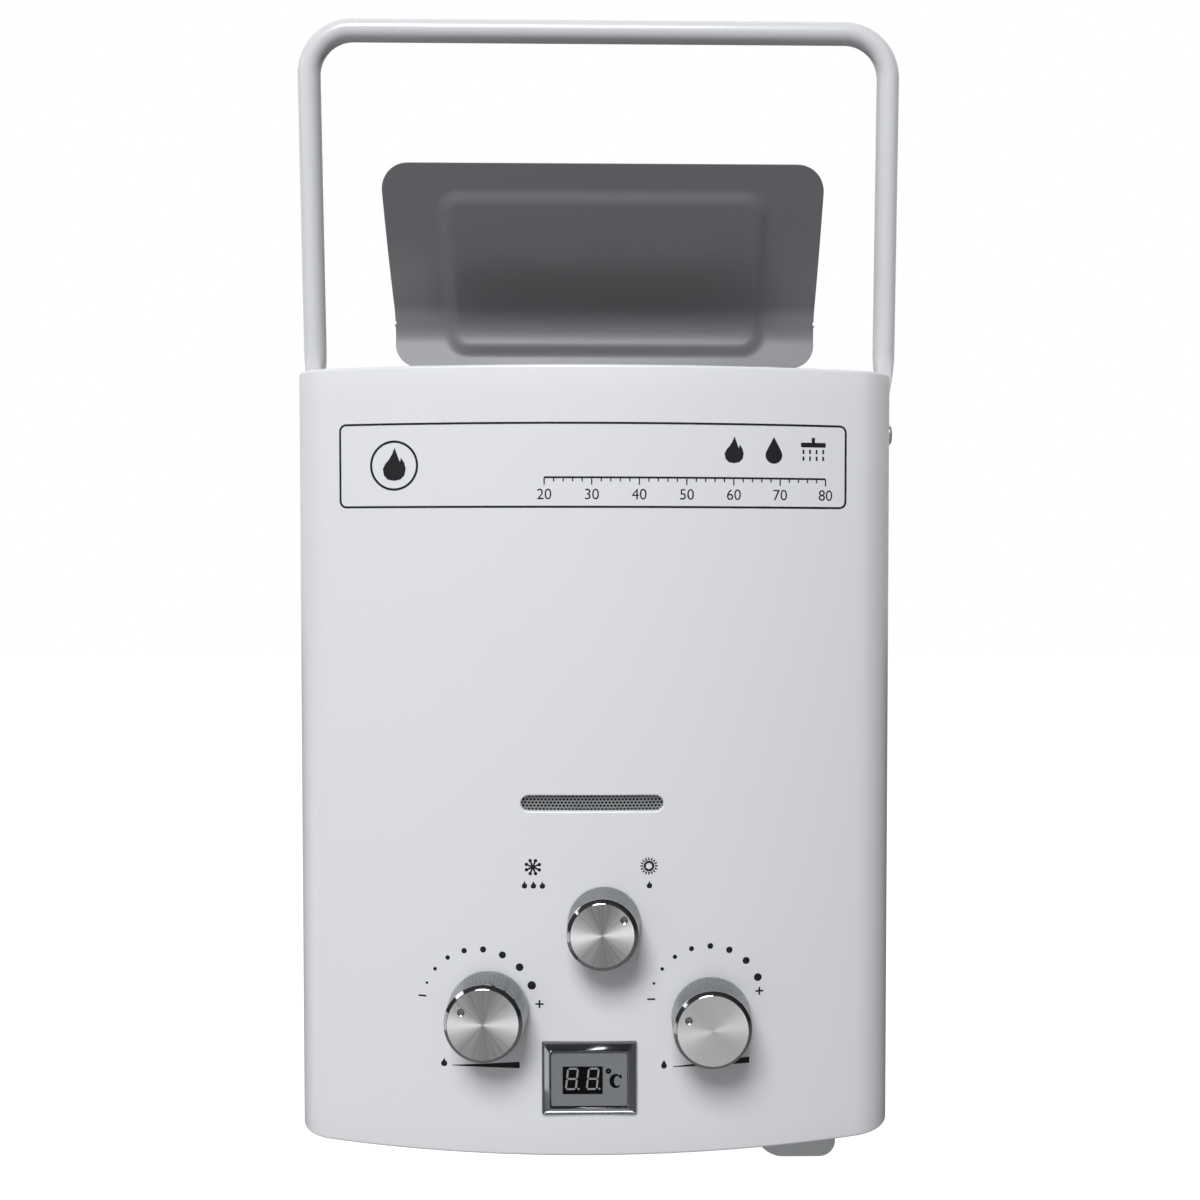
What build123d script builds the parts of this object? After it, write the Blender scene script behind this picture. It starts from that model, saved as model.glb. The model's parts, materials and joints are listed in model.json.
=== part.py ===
"""Portable propane water heater: a wall-hung, battery-lit instantaneous heater with a swinging
carrying handle.

Frame: +X to the right seen from the front, +Y back to the wall, +Z up.  The origin lies on the
wall face of the back plate, on its centre line, at the height of the two hanging keyholes.
"""

from build123d import *
import os
from math import cos, pi, radians, sin, sqrt

# ---------------------------------------------------------------- casing
BODY_WIDTH = 290.0
BODY_HEIGHT = 370.0
BODY_DEPTH = 125.0
BOW_RISE = 24.5          # how far the front bows out between its two corners
CORNER_RADIUS = 26.0     # upright front corners
EDGE_RADIUS = 1.5        # outside fold at the top and bottom edges
SHEET = 1.0              # thickness of every casing sheet
LIP = 12.0               # width of the turned-in top and bottom lips
FIT_GAP = 0.3            # clearance between sheets that slide together
HANG_DROP = 30.0         # hanging holes below the top edge
REAR_GAP = 1.0           # rear edges of the cover stand clear of the wall
FLANGE = 16.0            # turned flanges of the back plate

TOP = HANG_DROP
BOTTOM = TOP - BODY_HEIGHT
BOW_RADIUS = ((BODY_WIDTH / 2) ** 2 + BOW_RISE**2) / (2 * BOW_RISE)
BOW_CENTRE_Y = BOW_RADIUS - BODY_DEPTH
PANEL_TOP = TOP - SHEET - FIT_GAP          # upper face of the top panel
PANEL_BOTTOM = BOTTOM + SHEET + FIT_GAP    # lower face of the bottom panel
PLATE_TOP = PANEL_TOP - SHEET
PLATE_BOTTOM = PANEL_BOTTOM + SHEET
PLATE_HALF = BODY_WIDTH / 2 - SHEET - FIT_GAP

# ---------------------------------------------------------------- wall fixings
HANG_SPACING = 160.0
HANG_HEAD_RADIUS = 5.5
HANG_SLOT_RADIUS = 2.6
HANG_SLOT_RISE = 9.0
LOWER_FIXING_Z = BOTTOM + 35.0
LOWER_FIXING_SPACING = BODY_WIDTH - 90.0
LOWER_FIXING_RADIUS = 3.0
SWAGE_WIDTH = 14.0       # pressed ribs across the back plate
SWAGE_LENGTH = 200.0
SWAGE_DEPTH = 3.0

# ---------------------------------------------------------------- controls
GAS_KNOB_X, GAS_KNOB_Z = -48.2, BOTTOM + 70.3
WATER_KNOB_X, WATER_KNOB_Z = 55.6, BOTTOM + 67.0
SEASON_KNOB_X, SEASON_KNOB_Z = 5.7, BOTTOM + 110.6
KNOB_BACK_Y = -BODY_DEPTH - 1.0
KNOB_LENGTH = 20.5
KNOB_BASE_RADIUS = 18.6
KNOB_RING_RADIUS = 17.8
KNOB_FACE_RADIUS = 16.2
SEASON_BASE_RADIUS = 17.0
SEASON_RING_RADIUS = 16.3
SEASON_FACE_RADIUS = 14.5
KNOB_BEVEL = 1.4
KNOB_WALL = 3.0
KNOB_TOP = 3.5           # thickness of the metal behind the knob face
DIMPLE_RADIUS = 1.8
DIMPLE_DEPTH = 0.6
DIMPLE_INSET = 4.3       # dimple centre inside the face edge
GAS_DIMPLE_ANGLE = 149.0
WATER_DIMPLE_ANGLE = 156.0
SEASON_DIMPLE_ANGLE = 36.0
CORE_GAP = 0.1
HUB_RADIUS = 6.5
CORE_WALL = 1.5
STEM_RADIUS = 4.0
STEM_FLAT = 1.2
STEM_FIT = 0.05          # running clearance of a stem in its bore
STEM_HOLE_RADIUS = 8.0   # hole in the cover round each stem

# ---------------------------------------------------------------- display and viewing slot
DISPLAY_X, DISPLAY_Z = -1.3, BOTTOM + 37.5
BEZEL_WIDTH, BEZEL_HEIGHT = 44.4, 34.2
BEZEL_FRONT_Y = -BODY_DEPTH - 3.6
BEZEL_RIM_Y = -BODY_DEPTH - 1.0
BEZEL_FACE_MARGIN = 3.2
WINDOW_WIDTH, WINDOW_HEIGHT = 36.8, 25.4
LENS_THICKNESS = 1.2
MODULE_DEPTH = 12.0
MODULE_BOARD_Y = BEZEL_FRONT_Y + 0.3 + LENS_THICKNESS + MODULE_DEPTH
VIEW_SLOT_Z = BOTTOM + 166.1
VIEW_SLOT_LENGTH, VIEW_SLOT_HEIGHT = 66.4, 7.3
VIEW_SLOT_TURN = 2.0     # how far the slot edge is turned inwards
VIEW_PLATE_MARGIN = 4.0

# ---------------------------------------------------------------- flue
FLUE_LENGTH, FLUE_DEPTH = BODY_WIDTH - 106.0, 46.0
FLUE_Y = -73.5
FLUE_CORNER = 8.0
FLUE_UPSTAND = 4.0
DEFLECTOR_X = 2.5
DEFLECTOR_WIDTH = BODY_WIDTH - 68.0
DEFLECTOR_FOOT_Y = -34.0
DEFLECTOR_BEND_Y, DEFLECTOR_BEND_Z = -29.0, 64.5
DEFLECTOR_TOP_Y, DEFLECTOR_TOP_Z = -80.0, 134.5
DEFLECTOR_CORNER = 14.0
DEFLECTOR_LOWER_CORNER = 12.0
DEFLECTOR_WAIST_Z = 41.0         # full width ends here; a narrower foot goes on down
DEFLECTOR_FOOT_WIDTH = DEFLECTOR_WIDTH - 32.0
DEFLECTOR_BEND_RADIUS = 6.0
DEFLECTOR_FLANGE = 16.0
BEAD_INSET = 28.0
BEAD_BOTTOM_Z = 46.0
BEAD_TOP_INSET = 11.0
BEAD_WIDTH = 6.0
BEAD_RISE = 0.8

# ---------------------------------------------------------------- burner and exchanger
STACK_LENGTH, STACK_DEPTH = BODY_WIDTH - 140.0, 74.0
STACK_Y = -57.5
STACK_CORNER = 11.0
BURNER_TOP = BOTTOM + 158.0
CHAMBER_TOP = TOP - 72.0
EXCHANGER_TOP = TOP - 33.0
BURNER_BOTTOM = BURNER_TOP - 44.0
COPPER_SHEET = 1.0
FIN_COUNT = 14
FIN_THICKNESS = 0.8
WATER_TUBE_COUNT = 4
WATER_TUBE_RADIUS = 7.0
WATER_TUBE_WALL = 1.0
TUBE_PITCH = 18.0
TUBE_STUB = 4.0
PIPE_RADIUS = 6.0
PIPE_WALL = 1.0
BLADE_COUNT = 6
BLADE_PITCH = (STACK_LENGTH - 12.0) / BLADE_COUNT
BLADE_THICKNESS = 9.0
VENTURI_RADIUS = 5.0
MOUTH_RADIUS = 7.0
PORT_COUNT = 8
PORT_WIDTH = 1.4
PORT_DEPTH = 4.0
MANIFOLD_Y = 19.0 - BODY_DEPTH
MANIFOLD_Z = BURNER_BOTTOM + 12.0
MANIFOLD_SIDE = 12.0
INJECTOR_RADIUS = 3.5

# ---------------------------------------------------------------- water and gas connections
NIPPLE_Y = -56.0
GAS_NIPPLE_X = GAS_KNOB_X
COLD_NIPPLE_X = WATER_KNOB_X + 2.4
HOT_NIPPLE_X = 40.0 - BODY_WIDTH / 2
NIPPLE_DROP = 20.0       # how far each nipple reaches below the casing
NIPPLE_BORE = 6.5
THREAD_RADIUS = 10.4
THREAD_LENGTH = 15.5
NECK_RADIUS = 9.6
HEX_FLATS = 25.0
NUT_THICKNESS = 4.0
VALVE_Y = -65.0
ROD_Z = BOTTOM + 53.0
ROD_RADIUS = 3.0
ROD_TRAVEL = 3.0
DIAPHRAGM_RADIUS = 24.0
DRAIN_X = COLD_NIPPLE_X - 28.0

# ---------------------------------------------------------------- battery bay
CELL_RADIUS = 16.5
CELL_LENGTH = 61.0
BAY_WIDTH, BAY_LENGTH = 2 * CELL_RADIUS + 8.0, 4 * CELL_RADIUS + 7.0
BAY_X = BODY_WIDTH / 2 - 24.5 - BAY_WIDTH / 2
BAY_Y = -6.0 - BAY_LENGTH / 2
BAY_WALL = 1.5
BAY_FLANGE = 4.0
BAY_TOP = BOTTOM + 49.5
BAY_RIM = BOTTOM - 5.0
LID_BOTTOM = BOTTOM - 22.5
LID_RIGHT_CORNER, LID_LEFT_CORNER = 8.0, 15.0
CELL_BOTTOM = BOTTOM - 16.0
LID_PIN_X, LID_PIN_Z = BAY_X + BAY_WIDTH / 2 + 2.1, BOTTOM - 2.6
KNUCKLE_RADIUS = 1.8
LID_PIN_RADIUS = 1.0

# ---------------------------------------------------------------- carrying handle
HANDLE_RADIUS = 5.8
HANDLE_WALL = 1.2
HANDLE_HALF_SPAN = BODY_WIDTH / 2 + 6.2
HANDLE_CORNER = 23.0
HANDLE_BAR_HEIGHT = 208.2   # bar centre above the pivot
HANDLE_LEAN = 3.5           # forward lean of the handle as it stands
PIVOT_Y, PIVOT_Z = -28.0, 6.0
TONGUE_THICKNESS = 3.4
TONGUE_WIDTH = 16.0
TONGUE_LENGTH = 12.0
FLATTEN_LENGTH = 32.0
PIVOT_BOLT_RADIUS = 3.0


def block(x, y, z):
    """A square-cornered block between a low and a high value on each axis."""
    size = [high - low for low, high in (x, y, z)]
    centre = [(high + low) / 2 for low, high in (x, y, z)]
    return Pos(*centre) * Box(*size)


def bar(start, along, radius, length):
    """A round bar from a start point along a direction."""
    upright = Cylinder(radius, length, align=(Align.CENTER, Align.CENTER, Align.MIN))
    return Plane(origin=start, z_dir=along) * upright


def cone(start, along, radius, end_radius, length):
    """A tapered round bar from a start point along a direction."""
    upright = Cone(radius, end_radius, length, align=(Align.CENTER, Align.CENTER, Align.MIN))
    return Plane(origin=start, z_dir=along) * upright


def hexagon(start, along, flats, length):
    """A hexagonal bar measured across its flats."""
    face = Plane(origin=start, z_dir=along) * RegularPolygon(flats / 2, 6, major_radius=False)
    return extrude(face, length)


def facing(x, y, z):
    """A plane that looks out of the front: its local axes are +X and +Z, its normal -Y."""
    return Plane(origin=(x, y, z), x_dir=(1, 0, 0), z_dir=(0, -1, 0))


def level(x, y, z):
    """A horizontal plane whose normal points up."""
    return Plane(origin=(x, y, z), x_dir=(1, 0, 0), z_dir=(0, 0, 1))


def pipe(points, radii, radius, wall):
    """A bent round pipe through hand-set corner points, one bend radius for each corner."""
    route = FilletPolyline(*points, radius=radii)
    mouth = Plane(origin=route @ 0, z_dir=route % 0)
    outside = sweep(mouth * Circle(radius), path=route)
    return outside - sweep(mouth * Circle(radius - wall), path=route)


def pan_screw(seat, along, head_radius, head_height, shank_radius, shank_length):
    """A pan-head screw: its head stands on the seat, its shank runs along the direction."""
    back = [-step for step in along]
    head = bar(seat, back, head_radius, head_height)
    head = fillet(head.edges().sort_by(Axis(seat, tuple(back)))[-1], head_height * 0.5)
    return head + bar(seat, along, shank_radius, shank_length)


def plan(inset, rear):
    """Plan of the casing drawn in from its outside by an inset, closed along a rear line."""
    half = BODY_WIDTH / 2 - inset
    radius = BOW_RADIUS - inset
    corner_y = BOW_CENTRE_Y - sqrt(radius**2 - half**2)
    bow = ThreePointArc((-half, corner_y), (0, inset - BODY_DEPTH), (half, corner_y))
    sides = Polyline((half, corner_y), (half, rear), (-half, rear), (-half, corner_y))
    face = make_face([bow, sides])
    return fillet(face.vertices().group_by(Axis.Y)[0], CORNER_RADIUS - inset)


def plan_prism(inset, rear, low, high):
    """The casing plan raised between two heights."""
    return Pos(0, 0, low) * extrude(plan(inset, rear), high - low)


def bow_y(x, inset=0.0):
    """Depth of the bowed front at a distance from the centre line."""
    return BOW_CENTRE_Y - sqrt((BOW_RADIUS - inset) ** 2 - x**2)


# ---------------------------------------------------------------- casing pieces

SCREW_HEAD, SCREW_HEIGHT, SCREW_SHANK, SCREW_LENGTH = 3.8, 2.2, 1.9, 6.0
SIDE_SCREW_Y = -9.0
SIDE_SCREW_HEIGHTS = (TOP - 75.0, BOTTOM + 35.0)
PANEL_SCREW_X = BODY_WIDTH / 2 - 17.0
PANEL_SCREW_Y = -9.0
FOOT_SCREW_OFFSETS = (-80.0, 0.0, 80.0)
FOOT_SCREW_Y = DEFLECTOR_FOOT_Y + DEFLECTOR_FLANGE / 2 + 2


def screw_seats():
    """Seat point and direction of every casing screw."""
    seats = []
    for side in (-1, 1):
        for height in SIDE_SCREW_HEIGHTS:
            seats.append(((side * BODY_WIDTH / 2, SIDE_SCREW_Y, height), (-side, 0, 0)))
        seats.append(((side * PANEL_SCREW_X, PANEL_SCREW_Y, PANEL_TOP), (0, 0, -1)))
        seats.append(((side * PANEL_SCREW_X, PANEL_SCREW_Y, PANEL_BOTTOM), (0, 0, 1)))
    for offset in FOOT_SCREW_OFFSETS:
        seats.append(((DEFLECTOR_X + offset, FOOT_SCREW_Y, PANEL_TOP + SHEET), (0, 0, -1)))
    return seats


def casing_screws():
    """Pan-head sheet screws that hold the cover, the panels and the deflector."""
    screws = []
    for seat, along in screw_seats():
        screws.append(pan_screw(seat, along, SCREW_HEAD, SCREW_HEIGHT, SCREW_SHANK, SCREW_LENGTH))
    return Compound(screws)


def screw_holes():
    """Clearance drillings for the casing screws, through every sheet they pass."""
    drill = SCREW_SHANK + 0.1
    holes = [bar(seat, along, drill, SCREW_LENGTH + 1) for seat, along in screw_seats()]
    return Part() + holes


def knob_axes():
    """Centre, in X and Z, of the three control stems."""
    return (
        (GAS_KNOB_X, GAS_KNOB_Z),
        (WATER_KNOB_X, WATER_KNOB_Z),
        (SEASON_KNOB_X, SEASON_KNOB_Z),
    )


def front_cover():
    """Bowed cover: front and sides in one sheet, folded in at the top and the bottom."""
    cover = plan_prism(0, -REAR_GAP, BOTTOM, TOP)
    ends = cover.edges().filter_by_position(Axis.Y, -BODY_DEPTH - 1, -REAR_GAP - 0.5)
    middle = (TOP + BOTTOM) / 2
    ends = ends.filter_by(lambda edge: abs(abs(edge.center().Z - middle) - BODY_HEIGHT / 2) < 0.1)
    cover = fillet(ends, EDGE_RADIUS)
    cover -= plan_prism(SHEET, 1, BOTTOM + SHEET, TOP - SHEET)
    cover -= plan_prism(LIP, 1, BOTTOM - 1, TOP + 1)
    slot = facing(0, 0, VIEW_SLOT_Z)
    collar = slot * SlotOverall(VIEW_SLOT_LENGTH + 2 * SHEET, VIEW_SLOT_HEIGHT + 2 * SHEET)
    collar = extrude(collar, BODY_DEPTH)
    collar &= plan_prism(0, -REAR_GAP, BOTTOM, TOP) - plan_prism(SHEET + VIEW_SLOT_TURN, 1, BOTTOM, TOP)
    cover += collar
    cover -= extrude(slot * SlotOverall(VIEW_SLOT_LENGTH, VIEW_SLOT_HEIGHT), BODY_DEPTH + 1)
    for x, z in knob_axes():
        cover -= bar((x, -BODY_DEPTH - 1, z), (0, 1, 0), STEM_HOLE_RADIUS, 20)
    cover -= display_prism(BEZEL_FACE_MARGIN - FIT_GAP, -BODY_DEPTH - 1, 15 - BODY_DEPTH)
    for side in (-1, 1):
        start = (side * (BODY_WIDTH / 2 + 1), PIVOT_Y, PIVOT_Z)
        cover -= bar(start, (-side, 0, 0), PIVOT_BOLT_RADIUS + 0.1, 5)
    return cover - screw_holes()


def keyhole(x):
    """A hanging hole: a round entry for the screw head and a narrow slot above it."""
    entry = bar((x, 1, 0), (0, -1, 0), HANG_HEAD_RADIUS, 4)
    end = bar((x, 1, HANG_SLOT_RISE), (0, -1, 0), HANG_SLOT_RADIUS, 4)
    throat = block((x - HANG_SLOT_RADIUS, x + HANG_SLOT_RADIUS), (-3, 1), (0, HANG_SLOT_RISE))
    return entry + end + throat


def swage(z):
    """A rib pressed forwards across the back plate, hollow behind."""
    face = facing(0, -SHEET, z) * SlotOverall(SWAGE_LENGTH, SWAGE_WIDTH)
    raised = extrude(face, SWAGE_DEPTH)
    hollow = facing(0, 0, z) * SlotOverall(SWAGE_LENGTH - 2 * SHEET, SWAGE_WIDTH - 2 * SHEET)
    return raised, extrude(hollow, SWAGE_DEPTH)


SWAGE_HEIGHTS = (TOP - 120.0, BOTTOM + 190.0, BOTTOM + 75.0)


def back_plate():
    """Wall plate with four turned flanges, keyholes, lower fixing holes and pressed ribs."""
    plate = block((-PLATE_HALF, PLATE_HALF), (-SHEET, 0), (PLATE_BOTTOM, PLATE_TOP))
    frame = block((-PLATE_HALF, PLATE_HALF), (-FLANGE, 0), (PLATE_BOTTOM, PLATE_TOP))
    inner = PLATE_HALF - SHEET
    frame -= block((-inner, inner), (-FLANGE - 1, 1), (PLATE_BOTTOM + SHEET, PLATE_TOP - SHEET))
    plate += frame
    for z in SWAGE_HEIGHTS:
        raised, hollow = swage(z)
        plate = plate + raised - hollow
    for side in (-1, 1):
        plate -= keyhole(side * HANG_SPACING / 2)
        x = side * LOWER_FIXING_SPACING / 2
        plate -= bar((x, 1, LOWER_FIXING_Z), (0, -1, 0), LOWER_FIXING_RADIUS, 4)
    plate -= bay_prism(-BAY_FLANGE - FIT_GAP, PLATE_BOTTOM - 1, PLATE_BOTTOM + 3)
    return plate - screw_holes()


def flue_prism(margin, low, high):
    """The flue mouth outline grown by a margin and raised between two heights."""
    outline = RectangleRounded(FLUE_LENGTH + 2 * margin, FLUE_DEPTH + 2 * margin, FLUE_CORNER + margin)
    return extrude(level(0, FLUE_Y, low) * outline, high - low)


def top_panel():
    """Top closing panel with the flue mouth and its turned-up edge."""
    panel = plan_prism(SHEET + FIT_GAP, -FIT_GAP, PLATE_TOP, PANEL_TOP)
    panel += flue_prism(SHEET, PLATE_TOP, PANEL_TOP + FLUE_UPSTAND)
    panel -= flue_prism(0, PLATE_TOP - 1, PANEL_TOP + FLUE_UPSTAND + 1)
    return panel - screw_holes()


VENT_COUNT = 11
VENT_PITCH = 12.0
VENT_WIDTH, VENT_LENGTH = 4.0, 22.0
VENT_Y = -26.0


def nipple_places():
    """Centre line, in X, of the gas inlet, the cold inlet and the hot outlet."""
    return (GAS_NIPPLE_X, COLD_NIPPLE_X, HOT_NIPPLE_X)


def bottom_panel():
    """Bottom closing panel: pipe holes, battery opening and combustion-air slots."""
    panel = plan_prism(SHEET + FIT_GAP, -FIT_GAP, PANEL_BOTTOM, PLATE_BOTTOM)
    for x in nipple_places():
        panel -= bar((x, NIPPLE_Y, PANEL_BOTTOM - 1), (0, 0, 1), NECK_RADIUS + 0.3, 4)
    panel -= bar((DRAIN_X, VALVE_Y, PANEL_BOTTOM - 1), (0, 0, 1), STEM_RADIUS + 1.5, 4)
    panel -= bay_prism(-FIT_GAP, PANEL_BOTTOM - 1, PLATE_BOTTOM + 1)
    for index in range(VENT_COUNT):
        x = (index - (VENT_COUNT - 1) / 2) * VENT_PITCH
        vent = level(x, VENT_Y, PANEL_BOTTOM - 1) * SlotOverall(VENT_LENGTH, VENT_WIDTH, rotation=90)
        panel -= extrude(vent, 4)
    return panel - screw_holes()


# ---------------------------------------------------------------- flue

HOOD_SHEET = 0.8


def flue_hood():
    """Sheet hood that gathers the flue gas from the exchanger into the flue mouth."""
    def taper(inset, low, high):
        base = level(0, STACK_Y, low) * RectangleRounded(
            STACK_LENGTH - 2 * inset, STACK_DEPTH - 2 * inset, STACK_CORNER - inset
        )
        mouth = level(0, FLUE_Y, high) * RectangleRounded(
            FLUE_LENGTH + 2 * (HOOD_SHEET - inset), FLUE_DEPTH + 2 * (HOOD_SHEET - inset),
            FLUE_CORNER + HOOD_SHEET - inset,
        )
        return loft([base, mouth])

    neck = PLATE_TOP - HOOD_SHEET
    hood = taper(0, EXCHANGER_TOP, neck) - taper(HOOD_SHEET, EXCHANGER_TOP, neck)
    return hood + (flue_prism(6, neck, PLATE_TOP) - flue_prism(0, neck, PLATE_TOP))


def deflector_sheet(shift):
    """The bent deflector sheet over its whole width, moved forwards by a shift."""
    foot_z = PANEL_TOP + SHEET / 2
    route = FilletPolyline(
        (DEFLECTOR_FOOT_Y + DEFLECTOR_FLANGE - shift, foot_z),
        (DEFLECTOR_FOOT_Y - shift, foot_z),
        (DEFLECTOR_BEND_Y - shift, DEFLECTOR_BEND_Z),
        (DEFLECTOR_TOP_Y - shift, DEFLECTOR_TOP_Z),
        radius=[2.0, DEFLECTOR_BEND_RADIUS],
    )
    side = Plane(origin=(DEFLECTOR_X - DEFLECTOR_WIDTH / 2, 0, 0), x_dir=(0, 1, 0), z_dir=(1, 0, 0))
    return extrude(side * trace(route, SHEET), DEFLECTOR_WIDTH)


def flue_deflector():
    """Stamped rain and heat deflector: foot flange, leaning web, forward hood and a bead."""
    sheet = deflector_sheet(0)

    def wing(reach, corner, low, high):
        face = facing(DEFLECTOR_X, 1, DEFLECTOR_BEND_Z) * RectangleRounded(DEFLECTOR_WIDTH, 2 * reach, corner)
        kept = block((-BODY_WIDTH, BODY_WIDTH), (-BODY_DEPTH, 1), (low, high))
        return extrude(face, BODY_DEPTH) & kept

    crest = DEFLECTOR_TOP_Z + SHEET / 2
    outline = wing(crest - DEFLECTOR_BEND_Z, DEFLECTOR_CORNER, DEFLECTOR_BEND_Z, crest + 1)
    outline += wing(DEFLECTOR_BEND_Z - DEFLECTOR_WAIST_Z, DEFLECTOR_LOWER_CORNER, 0, DEFLECTOR_BEND_Z)
    half = DEFLECTOR_FOOT_WIDTH / 2
    outline += block((DEFLECTOR_X - half, DEFLECTOR_X + half), (-BODY_DEPTH, 1), (0, DEFLECTOR_BEND_Z))
    sheet &= outline
    low = BEAD_BOTTOM_Z
    high = DEFLECTOR_TOP_Z - BEAD_TOP_INSET
    bead_plane = facing(DEFLECTOR_X, 1, (low + high) / 2)
    width = DEFLECTOR_WIDTH - 2 * BEAD_INSET
    ring = bead_plane * RectangleRounded(width, high - low, 9)
    ring -= bead_plane * RectangleRounded(width - 2 * BEAD_WIDTH, high - low - 2 * BEAD_WIDTH, 4)
    ring = extrude(ring, BODY_DEPTH)
    sheet = (sheet - ring) + (deflector_sheet(BEAD_RISE) & ring)
    for side in (-1, 1):
        x = DEFLECTOR_X + side * (DEFLECTOR_WIDTH / 2 + 0.8)
        sheet -= bar((x, 1, DEFLECTOR_BEND_Z), (0, -1, 0), 2.0, BODY_DEPTH)
    return sheet - screw_holes()


# ---------------------------------------------------------------- burner, chamber and exchanger


def stack_prism(inset, low, high):
    """The upright outline shared by burner, chamber and exchanger."""
    outline = RectangleRounded(
        STACK_LENGTH - 2 * inset, STACK_DEPTH - 2 * inset, max(STACK_CORNER - inset, 0.5)
    )
    return extrude(level(0, STACK_Y, low) * outline, high - low)


def water_tube_places():
    """Depth, in Y, of each straight water tube through the fins, front first."""
    middle = (WATER_TUBE_COUNT - 1) / 2
    return [STACK_Y + (index - middle) * TUBE_PITCH for index in range(WATER_TUBE_COUNT)]


TUBE_Z = (CHAMBER_TOP + EXCHANGER_TOP) / 2
TUBE_END = STACK_LENGTH / 2 + TUBE_STUB


def exchanger_core():
    """Brazed copper core: frame, fins and the straight water tubes through them."""
    core = stack_prism(0, CHAMBER_TOP, EXCHANGER_TOP)
    core -= stack_prism(COPPER_SHEET, CHAMBER_TOP - 1, EXCHANGER_TOP + 1)
    clear = stack_prism(COPPER_SHEET / 2, CHAMBER_TOP + 2, EXCHANGER_TOP - 2)
    pitch = STACK_LENGTH / (FIN_COUNT + 1)
    for index in range(FIN_COUNT):
        x = (index - (FIN_COUNT - 1) / 2) * pitch
        fin = block(
            (x - FIN_THICKNESS / 2, x + FIN_THICKNESS / 2),
            (STACK_Y - STACK_DEPTH, STACK_Y + STACK_DEPTH),
            (CHAMBER_TOP, EXCHANGER_TOP),
        )
        core += fin & clear
    for y in water_tube_places():
        core += bar((-TUBE_END, y, TUBE_Z), (1, 0, 0), WATER_TUBE_RADIUS, 2 * TUBE_END)
    for y in water_tube_places():
        bore = WATER_TUBE_RADIUS - WATER_TUBE_WALL
        core -= bar((-TUBE_END - 1, y, TUBE_Z), (1, 0, 0), bore, 2 * TUBE_END + 2)
    return core


def return_bends():
    """Half-circle bends that join the straight tubes into one serpentine."""
    places = water_tube_places()
    bends = []
    for index in range(WATER_TUBE_COUNT - 1):
        side = 1 if index % 2 == 0 else -1
        centre = (side * TUBE_END, (places[index] + places[index + 1]) / 2, TUBE_Z)
        bend = Plane(origin=centre, x_dir=(0, 1, 0), z_dir=(0, 0, -side))
        route = bend * CenterArc((0, 0), TUBE_PITCH / 2, 0, 180)
        mouth = Plane(origin=route @ 0, z_dir=route % 0)
        bend = sweep(mouth * Circle(WATER_TUBE_RADIUS), path=route)
        bends.append(bend - sweep(mouth * Circle(WATER_TUBE_RADIUS - WATER_TUBE_WALL), path=route))
    return Compound(bends)


ELECTRODE_X = STACK_LENGTH / 2 - 30.0
ELECTRODE_Z = BURNER_TOP + 10.0
CERAMIC_RADIUS = 2.5


def combustion_chamber():
    """Copper drum between burner and exchanger, with a flame window and electrode holes."""
    drum = stack_prism(0, BURNER_TOP, CHAMBER_TOP)
    drum -= stack_prism(COPPER_SHEET, BURNER_TOP - 1, CHAMBER_TOP + 1)
    front = STACK_Y - STACK_DEPTH / 2
    window = facing(0, front + 3, VIEW_SLOT_Z) * SlotOverall(VIEW_SLOT_LENGTH - 8, VIEW_SLOT_HEIGHT)
    drum -= extrude(window, 6)
    for side in (-1, 1):
        drum -= bar((side * ELECTRODE_X, front - 3, ELECTRODE_Z), (0, 1, 0), CERAMIC_RADIUS + 0.2, 6)
    return drum


COIL_X = STACK_LENGTH / 2 + FIT_GAP + PIPE_RADIUS
COIL_FRONT = STACK_Y - STACK_DEPTH / 2 - FIT_GAP - PIPE_RADIUS
COIL_REAR = STACK_Y + STACK_DEPTH / 2 + FIT_GAP + PIPE_RADIUS
DRUM_HEIGHT = CHAMBER_TOP - BURNER_TOP
COIL_START_Z = BURNER_TOP + DRUM_HEIGHT * 11 / 35
COIL_RISE = DRUM_HEIGHT * 2 / 35
COIL_INLET_Z = BURNER_TOP + DRUM_HEIGHT * 6 / 35
RISER_BEND = DRUM_HEIGHT / 10
RISER_X = STACK_LENGTH / 2 + 22.0


def chamber_coil():
    """Water pipe wound round the drum, from the cold side up to the first straight tube."""
    corners = [(COIL_X, COIL_FRONT), (-COIL_X, COIL_FRONT), (-COIL_X, COIL_REAR), (COIL_X, COIL_REAR)]
    points = [(COIL_X, STACK_Y, COIL_INLET_Z), (COIL_X, STACK_Y, COIL_START_Z)]
    for step in range(5):
        x, y = corners[step % 4]
        points.append((x, y, COIL_START_Z + COIL_RISE * step))
    last = COIL_START_Z + COIL_RISE * 5
    front_tube = water_tube_places()[0]
    points += [
        (-RISER_X, COIL_FRONT, last),
        (-RISER_X, front_tube, last + DRUM_HEIGHT * 3 / 14),
        (-RISER_X, front_tube, TUBE_Z),
        (-TUBE_END, front_tube, TUBE_Z),
    ]
    bend = STACK_CORNER + FIT_GAP + PIPE_RADIUS
    return pipe(points, [RISER_BEND] + [bend] * 5 + [RISER_BEND, RISER_BEND, 12], PIPE_RADIUS, PIPE_WALL)


BRACKET_HEIGHTS = (CHAMBER_TOP - 20.0, BURNER_TOP + 10.0)
BRACKET_WIDTH = 100.0


def stack_brackets():
    """Channel brackets that carry the drum on the back plate."""
    brackets = []
    rear = STACK_Y + STACK_DEPTH / 2
    for z in BRACKET_HEIGHTS:
        channel = block((-BRACKET_WIDTH / 2, BRACKET_WIDTH / 2), (rear, -SHEET), (z - 6, z + 6))
        channel -= block(
            (-BRACKET_WIDTH, BRACKET_WIDTH), (rear + 1.5, -SHEET - 1.5), (z - 7, z + 4.5)
        )
        brackets.append(channel)
    return Compound(brackets)


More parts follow.
